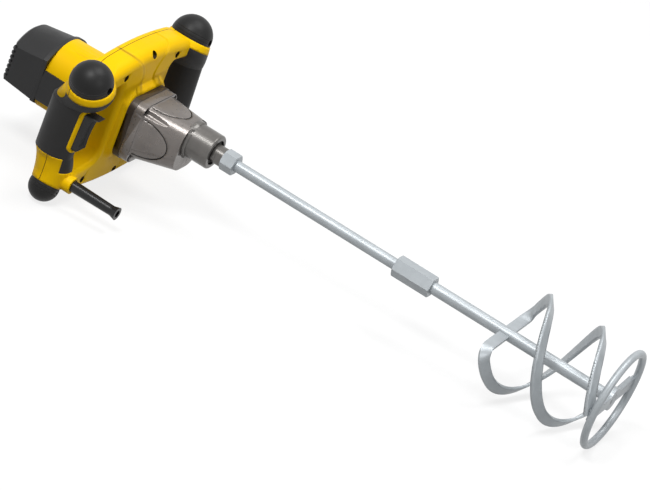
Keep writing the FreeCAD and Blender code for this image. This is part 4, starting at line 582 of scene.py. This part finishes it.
@dataclass(frozen=True, kw_only=True)
class BumperRubber(Finish):
    """Satin rubber of the corner balls, with the crease rings of their moulds, pressed in by bump and
    darkened by painted shade.
    """

    tool: ToolFrame
    tone: Cloud = Cloud(22.0, 5.0, 0.65)
    haze: Cloud = Cloud(45.0, 4.0)
    shine: float = 0.25
    stipple: Cloud = Cloud(1500.0, 2.0)
    stipple_depth: float = 0.02 * MM
    base_side: float = 105.0 * MM
    base_height: float = 66.5 * MM
    tilt: float = math.radians(22.0)
    # Colour of the painted shade in the crease rings.
    crease: Colour = (12, 12, 12)
    crease_places: tuple[float, float] = (3.5 * MM, 7.5 * MM)
    crease_width: float = 0.9 * MM
    crease_depth: float = 0.5 * MM

    def make(self) -> bpy.types.Material:
        """Make the rubber of the corner balls.

        Returns:
            The material.
        """
        recipe = Recipe(self.name)
        across, up = recipe.in_tool(self.tool)[1:]
        aside = recipe.calc("SUBTRACT", recipe.calc("ABSOLUTE", across), self.base_side)
        above = recipe.calc("SUBTRACT", recipe.calc("ABSOLUTE", up), self.base_height)
        rise = recipe.calc("ADD", recipe.calc("MULTIPLY", aside, math.sin(self.tilt)),
                           recipe.calc("MULTIPLY", above, math.cos(self.tilt)))
        first, second = (recipe.line(rise, place, self.crease_width) for place in self.crease_places)
        rings = recipe.calc("MAXIMUM", first, second)
        colour = self.colour(recipe, recipe.noise(self.tone))
        # Painted shade darkens the crease rings.
        recipe.plug("Base Color", recipe.mix(colour, rings, self.crease))
        recipe.plug("Roughness", self.roughness(recipe, recipe.noise(self.haze)))
        stipple = recipe.bump(recipe.noise(self.stipple), self.stipple_depth)
        recipe.plug("Normal", recipe.bump(recipe.calc("MULTIPLY", rings, -1.0), self.crease_depth, stipple))
        recipe.set("Specular IOR Level", self.shine)
        return recipe.material


@dataclass(frozen=True, kw_only=True)
class CastMetal(Finish):
    """Pressure-cast light metal under a thin metallic coating, with painted shade darkening its creases."""

    metal: float
    tone: Cloud = Cloud(34.0, 6.0, 0.7)
    haze: Cloud = Cloud(120.0, 5.0)
    skin: Cloud = Cloud(110.0)
    skin_depth: float = 0.08 * MM
    grain: Cloud = Cloud(1300.0, 2.0)
    grain_depth: float = 0.02 * MM
    # Colour of the painted shade in creases and grooves, how far to look, and how shut in a point must be to
    # get it.
    crease: Colour = (14, 13, 12)
    painted_shade_reach: float = 2.2 * MM
    painted_shade_open: float = 0.88
    painted_shade_shut: float = 0.6

    def make(self) -> bpy.types.Material:
        """Make the metal of the casting.

        Returns:
            The material.
        """
        recipe = Recipe(self.name)
        colour = self.colour(recipe, recipe.noise(self.tone))
        # Painted shade: the colour goes dark where the casting's own surface shuts a point in.
        painted_crease_shade = recipe.ramp(recipe.open_share(self.painted_shade_reach), self.painted_shade_open, self.painted_shade_shut)
        recipe.plug("Base Color", recipe.mix(colour, painted_crease_shade, self.crease))
        recipe.plug("Roughness", self.roughness(recipe, recipe.noise(self.haze)))
        skin = recipe.bump(recipe.noise(self.skin), self.skin_depth)
        recipe.plug("Normal", recipe.bump(recipe.noise(self.grain), self.grain_depth, skin))
        recipe.set("Metallic", self.metal)
        return recipe.material


@dataclass(frozen=True, kw_only=True)
class SlottedPlate(Finish):
    """Brown-black plate behind the gearbox, with painted shade standing for air slots in its sides."""

    metal: float
    tool: ToolFrame
    tone: Cloud = Cloud(34.0, 6.0, 0.7)
    haze: Cloud = Cloud(120.0, 5.0)
    grain: Cloud = Cloud(1300.0, 2.0)
    grain_depth: float = 0.02 * MM
    side: float = 37.4 * MM
    # Colour of the painted shade that stands for the air slots.
    gap: Colour = (6, 6, 6)
    slot_front: float = 27.4 * MM
    slots: tuple[tuple[float, float], ...] = ((-4.0 * MM, 21.0 * MM), (-23.0 * MM, -14.0 * MM))
    edge: float = 0.6 * MM

    def make(self) -> bpy.types.Material:
        """Make the metal of the plate.

        Returns:
            The material.
        """
        recipe = Recipe(self.name)
        forward, across, up = recipe.in_tool(self.tool)
        long, short = (recipe.calc("MULTIPLY", recipe.ramp(up, low, low + self.edge),
                                   recipe.ramp(up, high, high - self.edge)) for low, high in self.slots)
        outside = recipe.ramp(recipe.calc("ABSOLUTE", across), self.side - self.edge, self.side)
        behind = recipe.ramp(forward, self.slot_front, self.slot_front - self.edge)
        # Painted shade: near-black bands on the plate's sides stand for the air slots.
        slots = recipe.calc("MULTIPLY", recipe.calc("MAXIMUM", long, short),
                            recipe.calc("MULTIPLY", outside, behind))
        colour = self.colour(recipe, recipe.noise(self.tone))
        recipe.plug("Base Color", recipe.mix(colour, slots, self.gap))
        recipe.plug("Roughness", self.roughness(recipe, recipe.noise(self.haze)))
        recipe.plug("Normal", recipe.bump(recipe.noise(self.grain), self.grain_depth))
        recipe.set("Metallic", self.metal)
        return recipe.material


@dataclass(frozen=True, kw_only=True)
class PlatedSteel(Finish):
    """Drawn bar with bright zinc plating: pale blue, a little cloudy, with faint draw lines."""

    metal: float
    draw: float
    tone: Cloud = Cloud(26.0, 6.0, 0.7)
    frost: Cloud = Cloud(180.0)
    frost_depth: float = 0.03 * MM
    streak: Cloud = Cloud(1.0, 5.0, 0.6)
    streak_scale: tuple[float, float, float] = (14.0, 160.0, 160.0)
    streak_depth: float = 0.04 * MM

    def make(self) -> bpy.types.Material:
        """Make the plating.

        Returns:
            The material.
        """
        recipe = Recipe(self.name)
        streaks = recipe.noise(self.streak, recipe.stretched(self.streak_scale, self.draw))
        recipe.plug("Base Color", self.colour(recipe, recipe.noise(self.tone)))
        recipe.plug("Roughness", self.roughness(recipe, streaks))
        frost = recipe.bump(recipe.noise(self.frost), self.frost_depth)
        recipe.plug("Normal", recipe.bump(streaks, self.streak_depth, frost))
        recipe.set("Metallic", self.metal)
        return recipe.material


@dataclass(frozen=True, kw_only=True)
class TurnedSteel(Finish):
    """Metal from the lathe, with fine turning rings across the tool's line."""

    metal: float
    draw: float
    tone: Cloud = Cloud(40.0, 5.0)
    ring: Cloud = Cloud(1600.0, 3.0, 0.6)
    ring_scale: tuple[float, float, float] = (1.0, 0.02, 0.02)
    ring_depth: float = 0.02 * MM

    def make(self) -> bpy.types.Material:
        """Make the turned surface.

        Returns:
            The material.
        """
        recipe = Recipe(self.name)
        rings = recipe.noise(self.ring, recipe.stretched(self.ring_scale, self.draw))
        recipe.plug("Base Color", self.colour(recipe, recipe.noise(self.tone)))
        recipe.plug("Roughness", self.roughness(recipe, rings))
        recipe.plug("Normal", recipe.bump(rings, self.ring_depth))
        recipe.set("Metallic", self.metal)
        return recipe.material


@dataclass(frozen=True, kw_only=True)
class BandedMetal(Finish):
    """Stacked sheets or wound wire: bands of one metal side by side."""

    metal: float
    draw: float
    bands: float
    band_depth: float
    haze: Cloud = Cloud(70.0)
    wander: float = 0.6

    def make(self) -> bpy.types.Material:
        """Make the stack or winding.

        Returns:
            The material.
        """
        recipe = Recipe(self.name)
        lines = recipe.bands(self.bands, self.wander, recipe.turned(self.draw).outputs["Vector"])
        recipe.plug("Base Color", self.colour(recipe, lines))
        recipe.plug("Roughness", self.roughness(recipe, recipe.noise(self.haze)))
        recipe.plug("Normal", recipe.bump(lines, self.band_depth))
        recipe.set("Metallic", self.metal)
        return recipe.material


@dataclass(frozen=True)
class FinishSet:
    """Every finish of the tool."""

    materials: dict[Slot | Extra, bpy.types.Material]

    @classmethod
    def make(cls, tool: ToolFrame) -> "FinishSet":
        """Make the materials.

        Args:
            tool: Frame of the tool, for finishes that follow its line.

        Returns:
            The set of materials by slot or extra finish.
        """
        draw = tool.draw
        finishes = {
            Slot.YELLOW: CasingPlastic(
                name="yellow_moulding", dark=(252, 198, 0), light=(255, 207, 0), gloss=(0.42, 0.52),
                tool=tool),
            Slot.PLASTIC: MouldedPlastic(
                name="black_moulding", dark=(22, 22, 23), light=(29, 29, 30), gloss=(0.42, 0.54),
                grain_scale=2200.0),
            Slot.RUBBER: SoftRubber(
                name="black_rubber", dark=(22, 22, 22), light=(30, 29, 29), gloss=(0.5, 0.62)),
            Slot.CASTING: CastMetal(
                name="gunmetal_casting", dark=(112, 107, 104), light=(132, 126, 122), gloss=(0.25, 0.33),
                metal=0.45),
            Slot.DARK: TurnedSteel(
                name="turned_dark_steel", dark=(97, 95, 92), light=(113, 110, 107), gloss=(0.28, 0.31),
                metal=0.45, draw=draw, ring_depth=0.001 * MM),
            Slot.ZINC: PlatedSteel(
                name="zinc_plate", dark=(160, 166, 170), light=(184, 190, 194), gloss=(0.36, 0.48),
                metal=0.3, draw=draw),
            Slot.MACHINED: TurnedSteel(
                name="machined_steel", dark=(120, 120, 122), light=(150, 150, 152), gloss=(0.3, 0.42),
                metal=0.9, draw=draw),
            Slot.IRON: BandedMetal(
                name="iron_sheets", dark=(92, 92, 96), light=(124, 124, 128), gloss=(0.4, 0.5),
                metal=0.8, draw=draw, bands=320.0, band_depth=0.1 * MM),
            Slot.COPPER: BandedMetal(
                name="copper_wire", dark=(150, 78, 36), light=(214, 128, 70), gloss=(0.25, 0.36),
                metal=0.9, draw=draw, bands=300.0, band_depth=0.3 * MM),
            Slot.BRONZE: TurnedSteel(
                name="sintered_bronze", dark=(176, 136, 74), light=(198, 156, 92), gloss=(0.4, 0.5),
                metal=0.9, draw=draw),
            Slot.CARBON: MouldedPlastic(
                name="graphite", dark=(44, 44, 46), light=(60, 60, 62), gloss=(0.5, 0.6)),
            Extra.PLATE: SlottedPlate(
                name=Extra.PLATE.value, dark=(56, 50, 45), light=(72, 64, 57), gloss=(0.34, 0.44),
                metal=0.3, tool=tool),
            Extra.SCREW: TurnedSteel(
                name=Extra.SCREW.value, dark=(22, 22, 23), light=(32, 32, 33), gloss=(0.4, 0.5),
                metal=0.5, draw=draw),
            Extra.BUMPER: BumperRubber(
                name=Extra.BUMPER.value, dark=(15, 15, 15), light=(22, 22, 22), gloss=(0.42, 0.54),
                tool=tool),
            # Painted shade: near-black plastic for the floor of the trigger's hollow.
            Extra.LEVER: MouldedPlastic(
                name=Extra.LEVER.value, dark=(9, 9, 10), light=(13, 13, 14), gloss=(0.5, 0.6),
                grain_depth=0.01 * MM, shine=0.15),
            Extra.GUARD: MouldedPlastic(
                name=Extra.GUARD.value, dark=(16, 16, 17), light=(22, 22, 23), gloss=(0.26, 0.34),
                grain_depth=0.01 * MM),
        }
        return cls({kind: finish.make() for kind, finish in finishes.items()})

    def dress(self, piece: bpy.types.Object, kind: Slot | Extra) -> None:
        """Give a piece one finish all over."""
        piece.data.materials.clear()
        piece.data.materials.append(self.materials[kind])


class Bench:
    """Operators that the sub-assemblies share. Angles are in degrees and lengths in millimetres."""

    merge_distance: float = 0.0002
    flat_angle: float = 0.5
    edge_angle: float = 35.0
    edge_segments: int = 3
    face_weight: int = 80

    @staticmethod
    def clear() -> None:
        """Leave edit mode and deselect everything."""
        if bpy.context.object is not None and bpy.context.object.mode != "OBJECT":
            bpy.ops.object.mode_set(mode="OBJECT")
        bpy.ops.object.select_all(action="DESELECT")

    @staticmethod
    def take(piece: bpy.types.Object) -> None:
        """Select one piece alone and make it active.

        Args:
            piece: Piece to take.
        """
        Bench.clear()
        piece.select_set(True)
        bpy.context.view_layer.objects.active = piece

    @staticmethod
    def apply(piece: bpy.types.Object, kind: str, **settings: object) -> None:
        """Add one modifier to a piece and apply it.

        Args:
            piece: Piece to change.
            kind: Type of the modifier.
            settings: Settings of the modifier.
        """
        Bench.take(piece)
        modifier = piece.modifiers.new(kind.lower(), kind)
        for name, value in settings.items():
            setattr(modifier, name, value)
        bpy.ops.object.modifier_apply(modifier=modifier.name)

    @staticmethod
    def round_edges(piece: bpy.types.Object, radius: float) -> None:
        """Round the sharp edges of a piece.

        Args:
            piece: Piece with sharp edges.
            radius: Radius in millimetres.
        """
        Bench.take(piece)
        bpy.ops.object.mode_set(mode="EDIT")
        bpy.ops.mesh.select_all(action="SELECT")
        bpy.ops.mesh.dissolve_limited(angle_limit=math.radians(Bench.flat_angle))
        bpy.ops.object.mode_set(mode="OBJECT")
        Bench.apply(piece, "BEVEL", width=radius * MM, segments=Bench.edge_segments, limit_method="ANGLE",
                    angle_limit=math.radians(Bench.edge_angle), harden_normals=False)

    @staticmethod
    def smooth_copy(node: str, body: Body, slot: Slot) -> bpy.types.Object:
        """Copy a CAD node as one closed skin, and show it in the node's place.

        Args:
            node: Name of the CAD node.
            body: Body that the node rides on.
            slot: Material slot of the node; not used.

        Returns:
            The copy.
        """
        source = frame["nodes"][node]
        piece = bpy.data.objects.new(node + "_skin", source.data.copy())
        bpy.context.scene.collection.objects.link(piece)
        Bench.take(piece)
        bpy.ops.object.mode_set(mode="EDIT")
        bpy.ops.mesh.select_all(action="SELECT")
        bpy.ops.mesh.remove_doubles(threshold=Bench.merge_distance * MM)
        bpy.ops.object.mode_set(mode="OBJECT")
        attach(piece, body.value)
        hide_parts(node)
        return piece

    @staticmethod
    def finish(piece: bpy.types.Object, angle: float, radius: float) -> None:
        """Round the edges of a skin and smooth its curves.

        Args:
            piece: Skin to finish.
            angle: Edges sharper than this, in degrees, stay sharp.
            radius: Radius of its rounded edges in millimetres, or 0 to leave them.
        """
        if radius > 0.0:
            Bench.round_edges(piece, radius)
        Bench.take(piece)
        bpy.ops.object.shade_smooth_by_angle(angle=math.radians(angle))
        Bench.apply(piece, "WEIGHTED_NORMAL", keep_sharp=True, weight=Bench.face_weight)


@dataclass
class SubAssembly:
    """A group of CAD nodes that share a body, with a finish for each."""

    finishes: FinishSet
    tool: ToolFrame
    body: Body = Body.TOOL
    shown: dict[str, Slot] = field(default_factory=dict)
    hidden: dict[str, Slot] = field(default_factory=dict)
    rounds: dict[str, float] = field(default_factory=dict)
    extras: dict[str, Extra] = field(default_factory=dict)
    crease: float = 32.0

    def build(self) -> None:
        """Make the smooth skins of the nodes that are seen."""
        for node, slot in self.shown.items():
            piece = Bench.smooth_copy(node, self.body, slot)
            self.shape(piece)
            Bench.finish(piece, self.crease, self.rounds.get(node, 0.0))
            self.finishes.dress(piece, self.extras.get(node, slot))
            self.finishes.dress(frame["nodes"][node], self.extras.get(node, slot))
            LOG.info("%s: %s", node, slot.value)

    def shape(self, piece: bpy.types.Object) -> None:
        """Add form to a skin before its edges are rounded; most need none."""

    def dress(self) -> None:
        """Give the nodes that have no skin their finish."""
        for node, slot in self.hidden.items():
            self.finishes.dress(frame["nodes"][node], self.extras.get(node, slot))
            LOG.info("%s: %s", node, slot.value)


@dataclass
class Casing(SubAssembly):
    """Yellow yoke with its screws, side panels and rear cover."""

    shown: dict[str, Slot] = field(default_factory=lambda: {
        "casing_front": Slot.YELLOW,
        "casing_rear": Slot.YELLOW,
        "side_panel_near": Slot.PLASTIC,
        "side_panel_far": Slot.PLASTIC,
        "rear_cover": Slot.PLASTIC,
    })
    hidden: dict[str, Slot] = field(default_factory=lambda: {
        "casing_screws": Slot.MACHINED,
        "cover_screws": Slot.MACHINED,
    })
    rounds: dict[str, float] = field(default_factory=lambda: {
        "rear_cover": 1.2,
        "side_panel_near": 0.5,
        "side_panel_far": 0.5,
    })
    extras: dict[str, Extra] = field(default_factory=lambda: {
        "casing_screws": Extra.SCREW,
        "cover_screws": Extra.SCREW,
    })


@dataclass
class Handles(SubAssembly):
    """Grips, bumpers, switch and cord guard."""

    shown: dict[str, Slot] = field(default_factory=lambda: {
        "grip_near": Slot.RUBBER,
        "grip_far": Slot.RUBBER,
        "bumper_upper_near": Slot.RUBBER,
        "bumper_upper_far": Slot.RUBBER,
        "bumper_lower_near": Slot.RUBBER,
        "bumper_lower_far": Slot.RUBBER,
        "cord_guard": Slot.RUBBER,
    })
    hidden: dict[str, Slot] = field(default_factory=lambda: {
        "bumper_screws": Slot.MACHINED,
        "switch_body": Slot.PLASTIC,
    })
    extras: dict[str, Extra] = field(default_factory=lambda: {
        "bumper_upper_near": Extra.BUMPER,
        "bumper_upper_far": Extra.BUMPER,
        "bumper_lower_near": Extra.BUMPER,
        "bumper_lower_far": Extra.BUMPER,
        "bumper_screws": Extra.SCREW,
        "cord_guard": Extra.GUARD,
    })


@dataclass
class Trigger(SubAssembly):
    """Finger lever with a hollow front."""

    body: Body = Body.TRIGGER
    shown: dict[str, Slot] = field(default_factory=lambda: {"trigger": Slot.PLASTIC})
    rounds: dict[str, float] = field(default_factory=lambda: {"trigger": 0.9})
    width: float = 16.5
    rim: float = 2.6
    hollow: float = 2.2
    front_slope: float = 0.75

    def shape(self, piece: bpy.types.Object) -> None:
        """Press a hollow into the front of the lever.

        Args:
            piece: Skin of the lever.
        """
        Bench.take(piece)
        front = self.tool.forward
        bpy.ops.object.mode_set(mode="EDIT")
        bpy.ops.mesh.select_mode(type="FACE")
        bpy.ops.mesh.select_all(action="DESELECT")
        bpy.ops.object.mode_set(mode="OBJECT")
        for face in piece.data.polygons:
            face.select = face.normal.dot(front) > self.front_slope
        bpy.ops.object.mode_set(mode="EDIT")
        bpy.ops.mesh.inset(thickness=self.rim * MM, depth=0.0, use_boundary=True)
        bpy.ops.transform.translate(value=-self.hollow * MM * front)
        bpy.ops.object.mode_set(mode="OBJECT")

    def dress(self) -> None:
        """Paint shade on the floor of the hollow."""
        lever = bpy.data.objects["trigger_skin"]
        lever.data.materials.append(self.finishes.materials[Extra.LEVER])
        middle = sum(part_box("trigger"), Vector()).y / 2.0
        for face in lever.data.polygons:
            inside = abs(face.center.y - middle) < (self.width / 2.0 - self.rim) * MM
            face.material_index = int(inside and face.normal.dot(self.tool.forward) > self.front_slope)


@dataclass
class Gearbox(SubAssembly):
    """Gear casting, its plate, nose and bearings."""

    shown: dict[str, Slot] = field(default_factory=lambda: {
        "gearbox_housing": Slot.CASTING,
        "gear_plate": Slot.CASTING,
        "nose_sleeve": Slot.DARK,
        "oil_seal": Slot.RUBBER,
    })
    hidden: dict[str, Slot] = field(default_factory=lambda: {
        "gearbox_screws": Slot.MACHINED,
        "gear_bushes": Slot.BRONZE,
        "spindle_bearing": Slot.MACHINED,
    })
    extras: dict[str, Extra] = field(default_factory=lambda: {
        "gear_plate": Extra.PLATE,
        "gearbox_screws": Extra.SCREW,
    })


@dataclass
class Motor(SubAssembly):
    """Field, brushes and bearings that stand still."""

    hidden: dict[str, Slot] = field(default_factory=lambda: {
        "field_core": Slot.IRON,
        "field_coils": Slot.COPPER,
        "motor_front_bearing": Slot.MACHINED,
        "motor_rear_bearing": Slot.MACHINED,
        "brush_carrier": Slot.PLASTIC,
        "brush_holders": Slot.BRONZE,
        "carbon_brushes": Slot.CARBON,
        "brush_springs": Slot.MACHINED,
    })


@dataclass
class Armature(SubAssembly):
    """Turning part of the motor with its fan."""

    body: Body = Body.ARMATURE
    hidden: dict[str, Slot] = field(default_factory=lambda: {
        "armature_shaft": Slot.MACHINED,
        "armature_core": Slot.IRON,
        "armature_windings": Slot.COPPER,
        "commutator": Slot.COPPER,
        "fan": Slot.PLASTIC,
    })


@dataclass
class MiddleStage(SubAssembly):
    """Intermediate shaft and its gear."""

    body: Body = Body.MIDDLE
    hidden: dict[str, Slot] = field(default_factory=lambda: {
        "middle_shaft": Slot.MACHINED,
        "middle_gear": Slot.MACHINED,
    })


@dataclass
class Paddle(SubAssembly):
    """Spindle, rods and the helical paddle."""

    body: Body = Body.PADDLE
    crease: float = 28.0
    shown: dict[str, Slot] = field(default_factory=lambda: {
        "spindle": Slot.DARK,
        "upper_rod": Slot.ZINC,
        "lower_rod": Slot.ZINC,
        "ribbon_one": Slot.ZINC,
        "ribbon_two": Slot.ZINC,
        "ring": Slot.ZINC,
        "cross_bar": Slot.ZINC,
    })
    hidden: dict[str, Slot] = field(default_factory=lambda: {
        "spindle_gear": Slot.MACHINED,
        "spindle_circlip": Slot.MACHINED,
    })


@dataclass
class Hexagons(SubAssembly):
    """Hexagon nuts on the rods, whose flats stay flat up to their chamfers."""

    body: Body = Body.PADDLE
    crease: float = 9.0
    shown: dict[str, Slot] = field(default_factory=lambda: {
        "paddle_hex": Slot.ZINC,
        "coupling_nut": Slot.ZINC,
    })


@dataclass(frozen=True)
class Lamp:
    """One soft studio lamp, with its place and side in metres and its power in watts."""

    name: str
    place: tuple[float, float, float]
    side: float
    power: float

    def hang(self, target: Vector) -> None:
        """Hang the lamp and point it.

        Args:
            target: Point that the lamp shines at.
        """
        Bench.clear()
        bpy.ops.object.light_add(type="AREA", location=self.place)
        lamp = bpy.context.object
        lamp.name = self.name
        lamp.data.shape = "DISK"
        lamp.data.size = self.side
        lamp.data.energy = self.power
        lamp.rotation_euler = (target - Vector(self.place)).to_track_quat("-Z", "Y").to_euler()


@dataclass(frozen=True)
class Studio:
    """Pale floor, soft light and the photograph's camera, which is placed in the tool's millimetres."""

    tool: ToolFrame
    floor_side: float = 40.0
    floor_drop: float = 0.2 * MM
    floor_dark: Colour = (118, 118, 118)
    floor_light: Colour = (124, 124, 124)
    floor_tone: Cloud = Cloud(2.0)
    floor_roughness: float = 0.9
    floor_glow: float = 0.79
    room_light: float = 0.13
    lamp_target: tuple[float, float, float] = (100.0, 0.0, 0.0)
    camera_place: tuple[float, float, float] = (1288.0, -2970.2, 1677.4)
    camera_right: tuple[float, float, float] = (0.8142, 0.4698, 0.3412)
    camera_up: tuple[float, float, float] = (-0.5071, 0.2892, 0.8119)
    camera_back: tuple[float, float, float] = (0.2828, -0.8341, 0.4737)
    camera_near: float = 0.1
    camera_far: float = 60.0
    focal_pixels: float = 3300.0
    sensor: float = 36.0
    lamps: tuple[Lamp, ...] = (
        Lamp("key_lamp", (-0.5, -1.7, 3.2), 1.3, 78.0),
        Lamp("top_lamp", (0.5, 0.7, 3.2), 1.6, 54.0),
        Lamp("front_lamp", (2.6, -1.0, 1.5), 1.2, 17.0),
    )

    @staticmethod
    def seen(tree: bpy.types.NodeTree) -> Socket:
        """Whether a ray shows its surface as background.

        Args:
            tree: Node tree of the floor or the world.

        Returns:
            1 for rays from the camera and rays that metal or glass sends on, and 0 for the rest.
        """
        path = tree.nodes.new("ShaderNodeLightPath")
        result = path.outputs["Is Camera Ray"]
        for kind in ("Is Glossy Ray", "Is Transmission Ray"):
            either = tree.nodes.new("ShaderNodeMath")
            either.operation = "MAXIMUM"
            tree.links.new(result, either.inputs[0])
            tree.links.new(path.outputs[kind], either.inputs[1])
            result = either.outputs["Value"]
        return result

    def lay_floor(self) -> None:
        """Lay a pale floor that keeps the tool's shadow."""
        Bench.clear()
        bpy.ops.mesh.primitive_plane_add(size=self.floor_side, location=(0.0, 0.0, -self.floor_drop))
        floor = bpy.context.object
        floor.name = "floor"
        recipe = Recipe("pale_floor")
        share = recipe.spread(recipe.noise(self.floor_tone), 0.0, 1.0)
        recipe.plug("Base Color", recipe.mix(self.floor_dark, share, self.floor_light))
        recipe.set("Roughness", self.floor_roughness)
        glow = recipe.nodes.new("ShaderNodeEmission")
        glow.inputs["Color"].default_value = WHITE
        strength = recipe.calc("MULTIPLY", self.seen(recipe.material.node_tree), self.floor_glow)
        recipe.links.new(strength, glow.inputs["Strength"])
        both = recipe.nodes.new("ShaderNodeAddShader")
        recipe.links.new(recipe.shader.outputs["BSDF"], both.inputs[0])
        recipe.links.new(glow.outputs["Emission"], both.inputs[1])
        output = next(node for node in recipe.nodes if node.type == "OUTPUT_MATERIAL")
        recipe.links.new(both.outputs["Shader"], output.inputs["Surface"])
        floor.data.materials.append(recipe.material)

    def light(self) -> None:
        """Hang the lamps and light the room evenly."""
        for lamp in self.lamps:
            lamp.hang(self.tool.at(*self.lamp_target))
        world = bpy.data.worlds.new("studio")
        bpy.context.scene.world = world
        world.use_nodes = True
        nodes = world.node_tree.nodes
        links = world.node_tree.links
        background = nodes["Background"]
        background.inputs["Color"].default_value = WHITE
        level = nodes.new("ShaderNodeMapRange")
        level.inputs["To Min"].default_value = self.room_light
        level.inputs["To Max"].default_value = 1.0
        links.new(self.seen(world.node_tree), level.inputs["Value"])
        links.new(level.outputs["Result"], background.inputs["Strength"])
        bpy.context.scene.view_settings.view_transform = "Standard"

    def place_camera(self) -> None:
        """Put the camera where the photograph was taken from."""
        Bench.clear()
        bpy.ops.object.camera_add()
        camera = bpy.context.object
        camera.name = "photo_camera"
        camera.data.sensor_width = self.sensor
        camera.data.lens = self.sensor * self.focal_pixels / PHOTO_WIDTH
        camera.data.clip_start = self.camera_near
        camera.data.clip_end = self.camera_far
        pose = Matrix((self.camera_right, self.camera_up, self.camera_back)).transposed().to_4x4()
        pose.translation = Vector(self.camera_place) * MM
        camera.matrix_world = self.tool.matrix() @ pose
        bpy.context.scene.camera = camera


def main() -> None:
    """Build and dress every sub-assembly, then light and frame it."""
    logging.basicConfig(level=logging.INFO)
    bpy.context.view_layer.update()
    tool = ToolFrame.packed()
    finishes = FinishSet.make(tool)
    for group in (Casing, Handles, Trigger, Gearbox, Motor, Armature, MiddleStage, Paddle, Hexagons):
        assembly = group(finishes, tool)
        assembly.build()
        assembly.dress()
    studio = Studio(tool)
    studio.lay_floor()
    studio.light()
    studio.place_camera()


if __name__ == "__main__":
    main()
